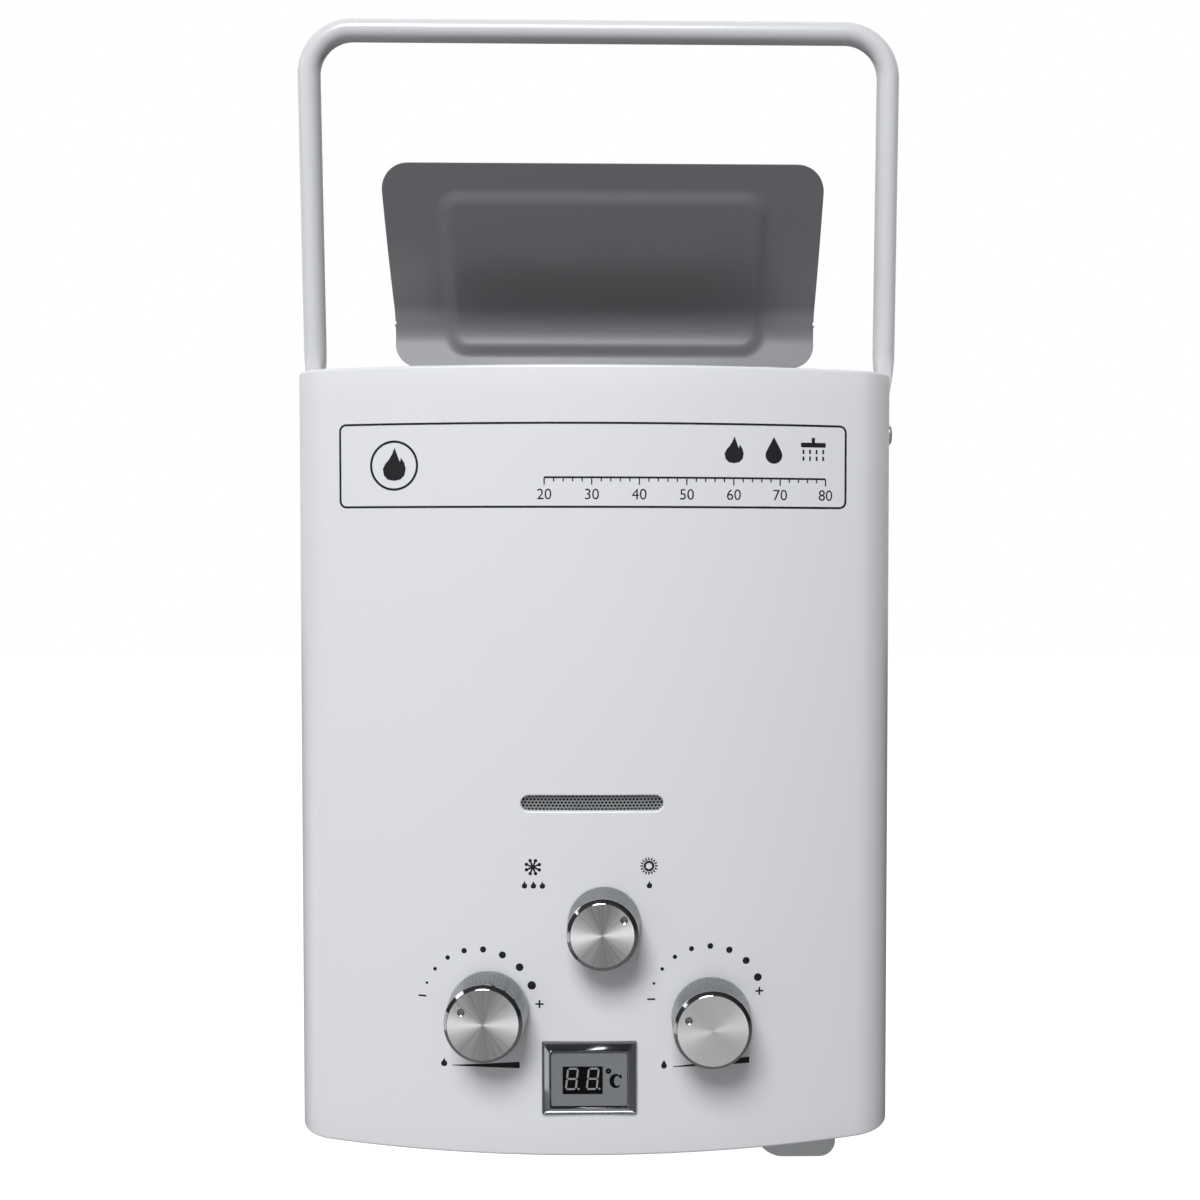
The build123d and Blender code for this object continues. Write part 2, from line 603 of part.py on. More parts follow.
def blade_places():
    """Centre, in X, of each burner blade."""
    middle = (BLADE_COUNT - 1) / 2
    return [(index - middle) * BLADE_PITCH for index in range(BLADE_COUNT)]


def burner_frame():
    """Open tray that holds the burner blades under the drum."""
    frame = stack_prism(0, BURNER_BOTTOM, BURNER_TOP)
    frame -= stack_prism(SHEET, BURNER_BOTTOM - 1, BURNER_TOP + 1)
    front = STACK_Y - STACK_DEPTH / 2
    for x in blade_places():
        frame -= bar((x, front - 2, MANIFOLD_Z), (0, 1, 0), MOUTH_RADIUS + 1, 6)
    for side in (-1, 1):
        y = STACK_Y + side * (STACK_DEPTH / 2 - SHEET - 3)
        reach = STACK_LENGTH / 2 - 2
        rail = block((-reach, reach), (y - 3, y + 3), (BURNER_BOTTOM, BURNER_BOTTOM + 2))
        frame += rail & stack_prism(SHEET / 2, BURNER_BOTTOM, BURNER_TOP)
    return frame


def burner_blade():
    """One blade burner: flared mouth, venturi, rising throat and a slotted flame head."""
    front = STACK_Y - STACK_DEPTH / 2 + SHEET + 1
    rear = STACK_Y + STACK_DEPTH / 2 - SHEET - 1
    half = BLADE_THICKNESS / 2
    z = MANIFOLD_Z
    mouth = cone((0, front, z), (0, 1, 0), MOUTH_RADIUS, VENTURI_RADIUS, 10)
    venturi = bar((0, front, z), (0, 1, 0), VENTURI_RADIUS, rear - front - 8)
    throat_half = VENTURI_RADIUS * 0.8
    throat = block((-throat_half, throat_half), (rear - 18, rear - 2), (z, BURNER_TOP - 12))
    foot = block((-1, 1), (front + 4, rear - 4), (BURNER_BOTTOM + 2, BURNER_TOP - 10))
    head = block((-half, half), (front + 2, rear), (BURNER_TOP - 17, BURNER_TOP - 3))
    head = fillet(head.edges().filter_by(Axis.Y), 2.5)
    blade = mouth + venturi + throat + foot + head
    blade -= cone((0, front - 0.01, z), (0, 1, 0), MOUTH_RADIUS - 1, VENTURI_RADIUS - 1, 10.02)
    blade -= bar((0, front, z), (0, 1, 0), VENTURI_RADIUS - 1, rear - front - 14)
    pitch = (rear - front - 8) / PORT_COUNT
    for index in range(PORT_COUNT):
        y = front + 5 + (index + 0.5) * pitch
        port = (y - PORT_WIDTH / 2, y + PORT_WIDTH / 2)
        blade -= block((-half - 1, half + 1), port, (BURNER_TOP - 3 - PORT_DEPTH, BURNER_TOP))
    return blade


def burner_blades():
    """The row of identical blade burners."""
    blade = burner_blade()
    return Compound([Pos(x, 0, 0) * blade for x in blade_places()])


def gas_manifold():
    """Square gas rail in front of the burner, with end tabs on the burner frame."""
    half = MANIFOLD_SIDE / 2
    front = STACK_Y - STACK_DEPTH / 2
    reach = STACK_LENGTH / 2 - STACK_CORNER
    depth = (MANIFOLD_Y - half, MANIFOLD_Y + half)
    rail = block((-reach, reach), depth, (MANIFOLD_Z - half, MANIFOLD_Z + half))
    for x in (-BLADE_PITCH * 2, BLADE_PITCH * 2):
        rise = (MANIFOLD_Z + half - 1, MANIFOLD_Z + half + 6)
        tab = block((x - 4, x + 4), (MANIFOLD_Y + half - 1, front), rise)
        rail += tab & block((-reach, reach), (MANIFOLD_Y - half, front), (MANIFOLD_Z, MANIFOLD_Z + 20))
    for x in blade_places():
        rail -= bar((x, MANIFOLD_Y, MANIFOLD_Z), (0, 1, 0), INJECTOR_RADIUS - 1, MANIFOLD_SIDE)
    return rail


def injectors():
    """Brass jets on the gas rail, one aimed into each blade mouth."""
    start = MANIFOLD_Y + MANIFOLD_SIDE / 2
    jets = []
    for x in blade_places():
        jet = hexagon((x, start, MANIFOLD_Z), (0, 1, 0), 2 * INJECTOR_RADIUS + 1, 3)
        jet += cone((x, start + 3, MANIFOLD_Z), (0, 1, 0), INJECTOR_RADIUS, 1.5, 5)
        jet -= bar((x, start - 1, MANIFOLD_Z), (0, 1, 0), 0.7, 12)
        jets.append(jet)
    return Compound(jets)


# ---------------------------------------------------------------- valves

BARREL_FRONT = 13.0 - BODY_DEPTH
STEM_END = VALVE_Y - 11.0
SEASON_STEM_END = 26.0 - BODY_DEPTH
STEM_FLOAT = 1.5         # free depth behind a stem in its bore


def stem_bore(x, z, end):
    """Running bore for a control stem, open at the front."""
    reach = end + STEM_FLOAT - BARREL_FRONT + 1
    return bar((x, BARREL_FRONT - 1, z), (0, 1, 0), STEM_RADIUS + STEM_FIT, reach)


def stem(x, z, end):
    """Control stem with a driving flat at its knob end."""
    tip = KNOB_BACK_Y - KNOB_LENGTH + KNOB_TOP + 2.5
    shaft = bar((x, end, z), (0, -1, 0), STEM_RADIUS, end - tip)
    flat_low = z + STEM_RADIUS - STEM_FLAT
    return shaft - block((x - 5, x + 5), (tip - 1, KNOB_BACK_Y + 2), (flat_low, flat_low + 5))


GAS_BLOCK_RIGHT = GAS_KNOB_X + 15.0
ROD_SOCKET = 14.0
NIPPLE_TOP = PLATE_BOTTOM + 7.0


def gas_valve():
    """Gas control body: stem barrel, tap block, inlet barrel and riser to the gas rail."""
    body = bar((GAS_KNOB_X, BARREL_FRONT, GAS_KNOB_Z), (0, 1, 0), 13, VALVE_Y - BARREL_FRONT)
    tap = block((GAS_KNOB_X - 15, GAS_BLOCK_RIGHT), (-82, -46), (BOTTOM + 40, BOTTOM + 84))
    body += fillet(tap.edges().filter_by(Axis.Z), 4)
    body += bar((GAS_NIPPLE_X, NIPPLE_Y, NIPPLE_TOP), (0, 0, 1), 12, BOTTOM + 42 - NIPPLE_TOP)
    riser_end = MANIFOLD_Z - MANIFOLD_SIDE / 2
    body += bar((GAS_KNOB_X, MANIFOLD_Y, GAS_KNOB_Z), (0, 0, 1), 6, riser_end - GAS_KNOB_Z)
    body -= bar((GAS_NIPPLE_X, NIPPLE_Y, NIPPLE_TOP - 1), (0, 0, 1), NIPPLE_BORE, 30)
    body -= bar((GAS_BLOCK_RIGHT + 1, VALVE_Y, ROD_Z), (-1, 0, 0), ROD_RADIUS + STEM_FIT, ROD_SOCKET + 1)
    return body - stem_bore(GAS_KNOB_X, GAS_KNOB_Z, STEM_END)


def gas_solenoid():
    """Safety solenoid screwed to the outer side of the tap block."""
    start = (GAS_KNOB_X - 15, VALVE_Y, BOTTOM + 64)
    coil = bar(start, (-1, 0, 0), 9, 4) + bar((start[0] - 4, VALVE_Y, start[2]), (-1, 0, 0), 11, 20)
    return coil + hexagon((start[0] - 24, VALVE_Y, start[2]), (-1, 0, 0), 9, 3)


def season_valve():
    """Summer and winter selector under the gas rail."""
    low, high = SEASON_KNOB_Z - 12, MANIFOLD_Z - MANIFOLD_SIDE / 2
    body = block((SEASON_KNOB_X - 14, SEASON_KNOB_X + 14), (BARREL_FRONT, -95), (low, high))
    body = fillet(body.edges().filter_by(Axis.Y), 3)
    return body - stem_bore(SEASON_KNOB_X, SEASON_KNOB_Z, SEASON_STEM_END)


DIAPHRAGM_X = COLD_NIPPLE_X - 22.0
COVER_THICKNESS = 8.0
VALVE_SCREW_COUNT = 6
VALVE_SCREW_CIRCLE = 19.5
WATER_OUTLET_X = COLD_NIPPLE_X + 4.0
WATER_OUTLET_TOP = BOTTOM + 90.0
DRAIN_BOSS_BOTTOM = BOTTOM + 14.0


def water_valve():
    """Water control body: stem barrel, block, inlet barrel, outlet and diaphragm seat."""
    body = bar((WATER_KNOB_X, BARREL_FRONT, WATER_KNOB_Z), (0, 1, 0), 12, VALVE_Y - BARREL_FRONT)
    core = block((COLD_NIPPLE_X - 14, COLD_NIPPLE_X + 14), (-82, -46), (BOTTOM + 40, BOTTOM + 82))
    body += fillet(core.edges().filter_by(Axis.Z), 4)
    body += bar((COLD_NIPPLE_X, NIPPLE_Y, NIPPLE_TOP), (0, 0, 1), 12, BOTTOM + 42 - NIPPLE_TOP)
    body += bar((DIAPHRAGM_X, VALVE_Y, ROD_Z), (1, 0, 0), DIAPHRAGM_RADIUS, 9)
    body += bar((WATER_OUTLET_X, STACK_Y, BOTTOM + 80), (0, 0, 1), 8, WATER_OUTLET_TOP - BOTTOM - 80)
    body -= bar((COLD_NIPPLE_X, NIPPLE_Y, NIPPLE_TOP - 1), (0, 0, 1), NIPPLE_BORE, 24)
    body -= bar((WATER_OUTLET_X, STACK_Y, BOTTOM + 75), (0, 0, 1), PIPE_RADIUS - PIPE_WALL, 20)
    body -= bar((DIAPHRAGM_X - 1, VALVE_Y, ROD_Z), (1, 0, 0), 14, 6)
    return body - stem_bore(WATER_KNOB_X, WATER_KNOB_Z, STEM_END)


def water_valve_cover():
    """Round diaphragm cover with a rod guide and a boss for the drain plug."""
    face = DIAPHRAGM_X - COVER_THICKNESS
    cover = bar((DIAPHRAGM_X, VALVE_Y, ROD_Z), (-1, 0, 0), DIAPHRAGM_RADIUS, COVER_THICKNESS)
    cover += bar((face, VALVE_Y, ROD_Z), (-1, 0, 0), 6.5, 8)
    boss_height = ROD_Z - DIAPHRAGM_RADIUS + 6 - DRAIN_BOSS_BOTTOM
    cover += bar((DRAIN_X, VALVE_Y, DRAIN_BOSS_BOTTOM), (0, 0, 1), 6, boss_height) & block(
        (DRAIN_X - 7, DIAPHRAGM_X), (-80, -50), (DRAIN_BOSS_BOTTOM, ROD_Z)
    )
    cover -= bar((DIAPHRAGM_X + 1, VALVE_Y, ROD_Z), (-1, 0, 0), 14, 6)
    cover -= bar((DIAPHRAGM_X, VALVE_Y, ROD_Z), (-1, 0, 0), ROD_RADIUS + STEM_FIT, 30)
    for y, z in valve_screw_places():
        cover -= bar((face - 1, y, z), (1, 0, 0), 1.6, COVER_THICKNESS + 2)
    return cover - drain_bore()


def drain_bore():
    """Socket for the drain plug, open at the bottom."""
    return bar((DRAIN_X, VALVE_Y, DRAIN_BOSS_BOTTOM - 1), (0, 0, 1), STEM_RADIUS - 0.5 + STEM_FIT, 13)


def valve_screw_places():
    """Centre, in Y and Z, of each diaphragm cover screw."""
    places = []
    for index in range(VALVE_SCREW_COUNT):
        angle = radians(index * 360 / VALVE_SCREW_COUNT)
        places.append((VALVE_Y + VALVE_SCREW_CIRCLE * cos(angle), ROD_Z + VALVE_SCREW_CIRCLE * sin(angle)))
    return places


def valve_screws():
    """Screws round the diaphragm cover."""
    face = DIAPHRAGM_X - COVER_THICKNESS
    screws = []
    for y, z in valve_screw_places():
        screws.append(pan_screw((face, y, z), (1, 0, 0), 3.0, 2.0, 1.5, COVER_THICKNESS))
    return Compound(screws)


def drain_plug():
    """Hand-turned drain plug below the casing, with a fluted grip."""
    x = DRAIN_X
    grip_top = BOTTOM - 3
    plug = bar((x, VALVE_Y, grip_top), (0, 0, -1), 8, 9)
    for index in range(8):
        angle = index * pi / 4
        flute = (x + 9.2 * cos(angle), VALVE_Y + 9.2 * sin(angle), grip_top + 1)
        plug -= bar(flute, (0, 0, -1), 2, 12)
    reach = DRAIN_BOSS_BOTTOM + 10 - grip_top
    return plug + bar((x, VALVE_Y, grip_top), (0, 0, 1), STEM_RADIUS - 0.5, reach)


FLAG_X = 8.0
SWITCH_Z = ROD_Z + 11


def push_rod():
    """Rod that the diaphragm pushes against the gas tap, with the switch flag and a head disc."""
    start = GAS_BLOCK_RIGHT - ROD_SOCKET + ROD_TRAVEL + 1.5
    rod = bar((start, VALVE_Y, ROD_Z), (1, 0, 0), ROD_RADIUS, DIAPHRAGM_X + 1 - start)
    rod += bar((DIAPHRAGM_X - 0.5, VALVE_Y, ROD_Z), (1, 0, 0), 12, 1.5)
    return rod + block((FLAG_X - 1.5, FLAG_X), (VALVE_Y - 4, VALVE_Y + 4), (ROD_Z - 4, SWITCH_Z + 3))


def microswitch():
    """Snap switch on the diaphragm cover, with a pocket for its plunger."""
    face = DIAPHRAGM_X - COVER_THICKNESS
    case = block((FLAG_X + 4, face), (VALVE_Y - 3.5, VALVE_Y + 3.5), (SWITCH_Z - 3.5, SWITCH_Z + 10))
    for z in (SWITCH_Z + 2, SWITCH_Z + 7):
        case += block((face - 9, face - 5), (VALVE_Y + 3.5, VALVE_Y + 10), (z - 0.4, z + 0.4))
    return case - bar((FLAG_X + 3, VALVE_Y, SWITCH_Z), (1, 0, 0), 1.6, 9)


def switch_plunger():
    """Plunger of the snap switch, always bearing on the rod flag."""
    return bar((FLAG_X, VALVE_Y, SWITCH_Z), (1, 0, 0), 1.5, 10)


def nipple(x):
    """Threaded half-inch connection with a shoulder above the bottom panel and an open bore."""
    tip = BOTTOM - NIPPLE_DROP
    body = bar((x, NIPPLE_Y, tip), (0, 0, 1), NECK_RADIUS, PLATE_BOTTOM - tip)
    thread = bar((x, NIPPLE_Y, tip), (0, 0, 1), THREAD_RADIUS, THREAD_LENGTH + 1)
    thread = chamfer(thread.edges().sort_by(Axis.Z)[0], 1.0)
    body += thread
    body += hexagon((x, NIPPLE_Y, PLATE_BOTTOM), (0, 0, 1), HEX_FLATS, NIPPLE_TOP - PLATE_BOTTOM)
    return body - bar((x, NIPPLE_Y, tip - 1), (0, 0, 1), NIPPLE_BORE, NIPPLE_TOP - tip + 2)


def lock_nuts():
    """Thin hexagon nuts that clamp the three nipples under the bottom panel."""
    nuts = []
    for x in nipple_places():
        nut = hexagon((x, NIPPLE_Y, PANEL_BOTTOM), (0, 0, -1), HEX_FLATS, NUT_THICKNESS)
        nuts.append(nut - bar((x, NIPPLE_Y, PANEL_BOTTOM + 1), (0, 0, -1), NECK_RADIUS + 0.1, 8))
    return Compound(nuts)


def inlet_filter():
    """Thimble strainer standing in the cold nipple."""
    low = BOTTOM + 2
    strainer = bar((COLD_NIPPLE_X, NIPPLE_Y, low), (0, 0, 1), NIPPLE_BORE - 0.1, 1.2)
    strainer += bar((COLD_NIPPLE_X, NIPPLE_Y, low), (0, 0, 1), 5, 16)
    return strainer - bar((COLD_NIPPLE_X, NIPPLE_Y, low - 1), (0, 0, 1), 4.2, 16)


def cold_pipe():
    """Pipe from the water valve up to the coil on the right of the drum."""
    y = STACK_Y
    points = [
        (WATER_OUTLET_X, y, WATER_OUTLET_TOP),
        (WATER_OUTLET_X, y, BOTTOM + 103),
        (RISER_X - 3, y, BOTTOM + 103),
        (RISER_X - 3, y, COIL_INLET_Z - 28),
        (COIL_X, y, COIL_INLET_Z - 12),
        (COIL_X, y, COIL_INLET_Z),
    ]
    return pipe(points, [11, 14, 9, 9], PIPE_RADIUS, PIPE_WALL)


def hot_pipe():
    """Pipe from the last straight tube down to the hot outlet."""
    rear_tube = water_tube_places()[-1]
    points = [
        (-TUBE_END, rear_tube, TUBE_Z),
        (-RISER_X, rear_tube, TUBE_Z),
        (-RISER_X, rear_tube, BOTTOM + 100),
        (HOT_NIPPLE_X, NIPPLE_Y, BOTTOM + 45),
        (HOT_NIPPLE_X, NIPPLE_Y, NIPPLE_TOP),
    ]
    return pipe(points, [12, 20, 20], PIPE_RADIUS, PIPE_WALL)


# ---------------------------------------------------------------- knobs


def knob_shell(x, z, base, ring, face, dimple_angle):
    """Turned aluminium knob: tapered side, bright bevel, spun face and a pointer dimple."""
    outline = Polyline(
        (0, 0), (base, 0), (ring, KNOB_LENGTH - KNOB_BEVEL), (face, KNOB_LENGTH), (0, KNOB_LENGTH), close=True
    )
    shell = revolve(Plane.XZ * make_face(outline), Axis.Z)
    shell -= Cylinder(base - KNOB_WALL, KNOB_LENGTH - KNOB_TOP, align=(Align.CENTER, Align.CENTER, Align.MIN))
    reach = face - DIMPLE_INSET
    angle = radians(dimple_angle)
    ball = (DIMPLE_RADIUS**2 + DIMPLE_DEPTH**2) / (2 * DIMPLE_DEPTH)
    height = KNOB_LENGTH + ball - DIMPLE_DEPTH
    shell -= Pos(reach * cos(angle), reach * sin(angle), height) * Rot(90, 0, 0) * Sphere(ball)
    return facing(x, KNOB_BACK_Y, z) * shell


def knob_core(x, z, base):
    """Moulded insert that carries the knob shell on the flatted stem."""
    up = (Align.CENTER, Align.CENTER, Align.MIN)
    outer = base - KNOB_WALL - CORE_GAP
    depth = KNOB_LENGTH - KNOB_TOP - 1
    core = Cylinder(outer, depth, align=up) - Pos(0, 0, -1) * Cylinder(outer - CORE_WALL, depth - 1, align=up)
    core += Cylinder(HUB_RADIUS, depth, align=up)
    for index in range(4):
        web = Pos(outer / 2 + 1, 0, depth / 2 + 2) * Box(outer - 3, 1.2, depth - 4)
        core += Rot(0, 0, 45 + 90 * index) * web
    flat = STEM_RADIUS - STEM_FLAT + STEM_FIT
    socket = Cylinder(STEM_RADIUS + STEM_FIT, depth - 2, align=up)
    socket -= Pos(0, flat + 5, 2 + depth / 2) * Box(20, 10, depth + 6)
    entry = Cylinder(STEM_RADIUS + STEM_FIT, 2, align=up)
    return facing(x, KNOB_BACK_Y - 1, z) * (core - socket - Pos(0, 0, -3) * entry)


# ---------------------------------------------------------------- display and viewing grille


def display_prism(margin, front, back):
    """A block on the display centre, drawn in from the bezel outline by a margin."""
    half_width = BEZEL_WIDTH / 2 - margin
    half_height = BEZEL_HEIGHT / 2 - margin
    return block(
        (DISPLAY_X - half_width, DISPLAY_X + half_width),
        (front, back),
        (DISPLAY_Z - half_height, DISPLAY_Z + half_height),
    )


def window_prism(gap, front, back):
    """A block on the display centre, grown from the window by a gap."""
    return block(
        (DISPLAY_X - WINDOW_WIDTH / 2 - gap, DISPLAY_X + WINDOW_WIDTH / 2 + gap),
        (front, back),
        (DISPLAY_Z - WINDOW_HEIGHT / 2 - gap, DISPLAY_Z + WINDOW_HEIGHT / 2 + gap),
    )


def display_bezel():
    """Bright mitred frame that stands proud of the cover, with a skirt through its opening."""
    rim = facing(DISPLAY_X, BEZEL_RIM_Y, DISPLAY_Z) * Rectangle(BEZEL_WIDTH, BEZEL_HEIGHT)
    crest = facing(DISPLAY_X, BEZEL_FRONT_Y, DISPLAY_Z) * Rectangle(WINDOW_WIDTH + 1.6, WINDOW_HEIGHT + 1.6)
    bezel = loft([rim, crest])
    rim_base = display_prism(0, BEZEL_RIM_Y, 5 - BODY_DEPTH)
    bezel += rim_base - plan_prism(-0.05, 1, BOTTOM, TOP)
    bezel += display_prism(BEZEL_FACE_MARGIN, BEZEL_RIM_Y, MODULE_BOARD_Y)
    return bezel - window_prism(0, BEZEL_FRONT_Y - 1, 25 - BODY_DEPTH)


def display_lens():
    """Clear window held just inside the bezel."""
    front = BEZEL_FRONT_Y + 0.3
    return window_prism(-0.1, front, front + LENS_THICKNESS)


def display_module():
    """Two-digit temperature module behind the window."""
    front = BEZEL_FRONT_Y + 0.3 + LENS_THICKNESS
    module = window_prism(-0.2, front, MODULE_BOARD_Y)
    board = window_prism(4, MODULE_BOARD_Y, MODULE_BOARD_Y + 1.6)
    return module + board


def viewing_grille():
    """Plate behind the viewing slot, bent to the bow of the cover."""
    inset = SHEET + VIEW_SLOT_TURN
    outline = facing(0, 0, VIEW_SLOT_Z) * SlotOverall(
        VIEW_SLOT_LENGTH + 2 * VIEW_PLATE_MARGIN, VIEW_SLOT_HEIGHT + 2 * VIEW_PLATE_MARGIN
    )
    plate = extrude(outline, BODY_DEPTH)
    return plate & (plan_prism(inset, 1, BOTTOM, TOP) - plan_prism(inset + 0.8, 2, BOTTOM, TOP))


# ---------------------------------------------------------------- electrical pieces


def igniter_module():
    """Pulse igniter box on the back plate, with a high-voltage tower and a plug socket."""
    left, base = BODY_WIDTH / 2 - 65, BOTTOM + 84
    box = block((left, left + 50), (-34, -SHEET), (base, base + 56))
    box = fillet(box.edges().filter_by(Axis.Y), 3)
    box += bar((left + 12, -34, base + 44), (0, -1, 0), 5, 7)
    return box - block((left + 24, left + 44), (-35, -28), (base + 4, base + 14))


def electrode(side):
    """Ceramic-sleeved electrode through the front of the drum, bent down to the flame heads."""
    front = STACK_Y - STACK_DEPTH / 2
    x = side * ELECTRODE_X
    body = bar((x, front - 8, ELECTRODE_Z), (0, 1, 0), CERAMIC_RADIUS, 18)
    body += block((x - 6, x + 6), (front - 1, front), (ELECTRODE_Z - 5, ELECTRODE_Z + 8)) - bar(
        (x, front - 2, ELECTRODE_Z), (0, 1, 0), CERAMIC_RADIUS, 3
    )
    return body + bar((x, front + 9, ELECTRODE_Z), (0, 0.94, -0.34), 0.8, 14)


def overheat_switch():
    """Snap-disc thermostat clamped to the front of the exchanger frame."""
    front = STACK_Y - STACK_DEPTH / 2
    disc = bar((30, front, TUBE_Z), (0, -1, 0), 8, 6) + bar((30, front, TUBE_Z), (0, -1, 0), 6, 9)
    return disc + block((26, 27), (front - 14, front - 8), (TUBE_Z - 2, TUBE_Z + 2))


# ---------------------------------------------------------------- battery bay


def bay_prism(inset, low, high):
    """The battery bay outline drawn in by an inset and raised between two heights."""
    half_width, half_length = BAY_WIDTH / 2 - inset, BAY_LENGTH / 2 - inset
    return block(
        (BAY_X - half_width, BAY_X + half_width), (BAY_Y - half_length, BAY_Y + half_length), (low, high)
    )


KNUCKLE_LENGTH = 9.0
KNUCKLE_CENTRES = (-62.0, -23.0)
KNUCKLE_GAP = 0.3


def battery_box():
    """Moulded bay hung through the bottom panel, open below, with a flange and hinge knuckles."""
    box = bay_prism(0, BAY_RIM, BAY_TOP) - bay_prism(BAY_WALL, BAY_RIM - 1, BAY_TOP - BAY_WALL)
    flange = bay_prism(-BAY_FLANGE, PLATE_BOTTOM, PLATE_BOTTOM + 1.5)
    flange -= bay_prism(1, PLATE_BOTTOM - 1, PLATE_BOTTOM + 3)
    box += flange
    wall_x = BAY_X + BAY_WIDTH / 2
    for centre in KNUCKLE_CENTRES:
        for side in (-1, 1):
            low = centre + side * (KNUCKLE_LENGTH + KNUCKLE_GAP) - KNUCKLE_LENGTH / 2
            knuckle = bar((LID_PIN_X, low, LID_PIN_Z), (0, 1, 0), KNUCKLE_RADIUS, KNUCKLE_LENGTH)
            rise = (LID_PIN_Z - 1, LID_PIN_Z + KNUCKLE_RADIUS)
            knuckle += block((wall_x - 0.5, LID_PIN_X), (low, low + KNUCKLE_LENGTH), rise)
            bore = LID_PIN_RADIUS + STEM_FIT
            knuckle -= bar((LID_PIN_X, low - 1, LID_PIN_Z), (0, 1, 0), bore, KNUCKLE_LENGTH + 2)
            box += knuckle
    return box


def cell_places():
    """Depth, in Y, of the two cells."""
    return (BAY_Y - CELL_RADIUS - 0.6, BAY_Y + CELL_RADIUS + 0.6)


def dry_cells():
    """Two large round cells standing side by side."""
    cells = []
    for y in cell_places():
        cell = bar((BAY_X, y, CELL_BOTTOM), (0, 0, 1), CELL_RADIUS, CELL_LENGTH - 2)
        cell = fillet(cell.edges(), 1.2)
        cells.append(cell + bar((BAY_X, y, CELL_BOTTOM), (0, 0, 1), 4.7, CELL_LENGTH))
    return Compound(cells)


def battery_contacts():
    """Contact strip and pads under the roof of the bay."""
    roof = BAY_TOP - BAY_WALL
    strip = bay_prism(BAY_WALL + 6, roof - 0.6, roof)
    for y in cell_places():
        strip += bar((BAY_X, y, roof - 0.6), (0, 0, -1), 4, roof - 0.9 - CELL_BOTTOM - CELL_LENGTH)
    return strip


def battery_lid():
    """Grey tray lid with rounded lower corners and moulded hinge pins."""
    half = BAY_LENGTH / 2
    left, right = BAY_X - BAY_WIDTH / 2, BAY_X + BAY_WIDTH / 2
    top = BAY_RIM - 0.3

    def tray(inset, cap):
        face = facing((left + right) / 2, BAY_Y + half - inset, (LID_BOTTOM + top) / 2) * Rectangle(
            right - left - 2 * inset, top - LID_BOTTOM
        )
        face = Pos(0, 0, inset * cap) * face
        lower = face.vertices().group_by(Axis.Z)[0].sort_by(Axis.X)
        face = fillet(lower[0], LID_LEFT_CORNER - inset)
        lower = face.vertices().group_by(Axis.Z)[0].sort_by(Axis.X)
        face = fillet(lower[-1], LID_RIGHT_CORNER - inset)
        return extrude(face, BAY_LENGTH - 2 * inset)

    lid = tray(0, 1) - tray(BAY_WALL, 1)
    for centre in KNUCKLE_CENTRES:
        low = centre - KNUCKLE_LENGTH / 2
        span = (low, low + KNUCKLE_LENGTH)
        outer = LID_PIN_X + KNUCKLE_RADIUS
        arm = block((right - 1, outer), span, (top - 5, top - 0.2))
        arm += block((LID_PIN_X - 1, outer), span, (top - 5, LID_PIN_Z))
        lid += arm + bar((LID_PIN_X, low, LID_PIN_Z), (0, 1, 0), KNUCKLE_RADIUS, KNUCKLE_LENGTH)
        reach = KNUCKLE_LENGTH + KNUCKLE_GAP
        start = (LID_PIN_X, low - reach, LID_PIN_Z)
        lid += bar(start, (0, 1, 0), LID_PIN_RADIUS, 2 * reach + KNUCKLE_LENGTH)
    return lid


def lid_contact_strip():
    """Bridge strip with two tapered springs that press the cells upwards."""
    floor = LID_BOTTOM + BAY_WALL
    strip = block((BAY_X - 5, BAY_X + 5), (BAY_Y - 26, BAY_Y + 26), (floor, floor + 0.8))
    for y in cell_places():
        strip += cone((BAY_X, y, floor + 0.8), (0, 0, 1), 5, 3.5, CELL_BOTTOM - 0.3 - floor - 0.8)
    return strip


# ---------------------------------------------------------------- handle


def handle():
    """Bent steel tube whose flattened ends turn on the side bolts."""
    start = TONGUE_LENGTH + FLATTEN_LENGTH
    route = FilletPolyline(
        (-HANDLE_HALF_SPAN, 0, start),
        (-HANDLE_HALF_SPAN, 0, HANDLE_BAR_HEIGHT),
        (HANDLE_HALF_SPAN, 0, HANDLE_BAR_HEIGHT),
        (HANDLE_HALF_SPAN, 0, start),
        radius=HANDLE_CORNER,
    )
    mouth = Plane(origin=route @ 0, z_dir=route % 0)
    tube = sweep(mouth * Circle(HANDLE_RADIUS), path=route)
    tube -= sweep(mouth * Circle(HANDLE_RADIUS - HANDLE_WALL), path=route)
    for side in (-1, 1):
        x = side * HANDLE_HALF_SPAN
        round_end = level(x, 0, start) * Circle(HANDLE_RADIUS)
        flat_end = level(x, 0, TONGUE_LENGTH) * Ellipse(TONGUE_THICKNESS * 0.6, TONGUE_WIDTH / 2)
        tube += loft([flat_end, round_end])
        low, high = x - TONGUE_THICKNESS / 2, x + TONGUE_THICKNESS / 2
        tongue = block((low, high), (-TONGUE_WIDTH / 2, TONGUE_WIDTH / 2), (0, TONGUE_LENGTH + 4))
        tongue += bar((low, 0, 0), (1, 0, 0), TONGUE_WIDTH / 2, TONGUE_THICKNESS)
        tube += tongue
        tube -= bar((x - 5, 0, 0), (1, 0, 0), PIVOT_BOLT_RADIUS + STEM_FIT, 10)
    return Pos(0, PIVOT_Y, PIVOT_Z) * Rot(HANDLE_LEAN, 0, 0) * tube


def handle_bolts():
    """Button-head pivot bolts through the casing sides."""
    bolts = []
    for side in (-1, 1):
        seat = (side * (HANDLE_HALF_SPAN + TONGUE_THICKNESS / 2 + FIT_GAP), PIVOT_Y, PIVOT_Z)
        bolts.append(pan_screw(seat, (-side, 0, 0), 5.5, 2.7, PIVOT_BOLT_RADIUS, 17))
    return Compound(bolts)


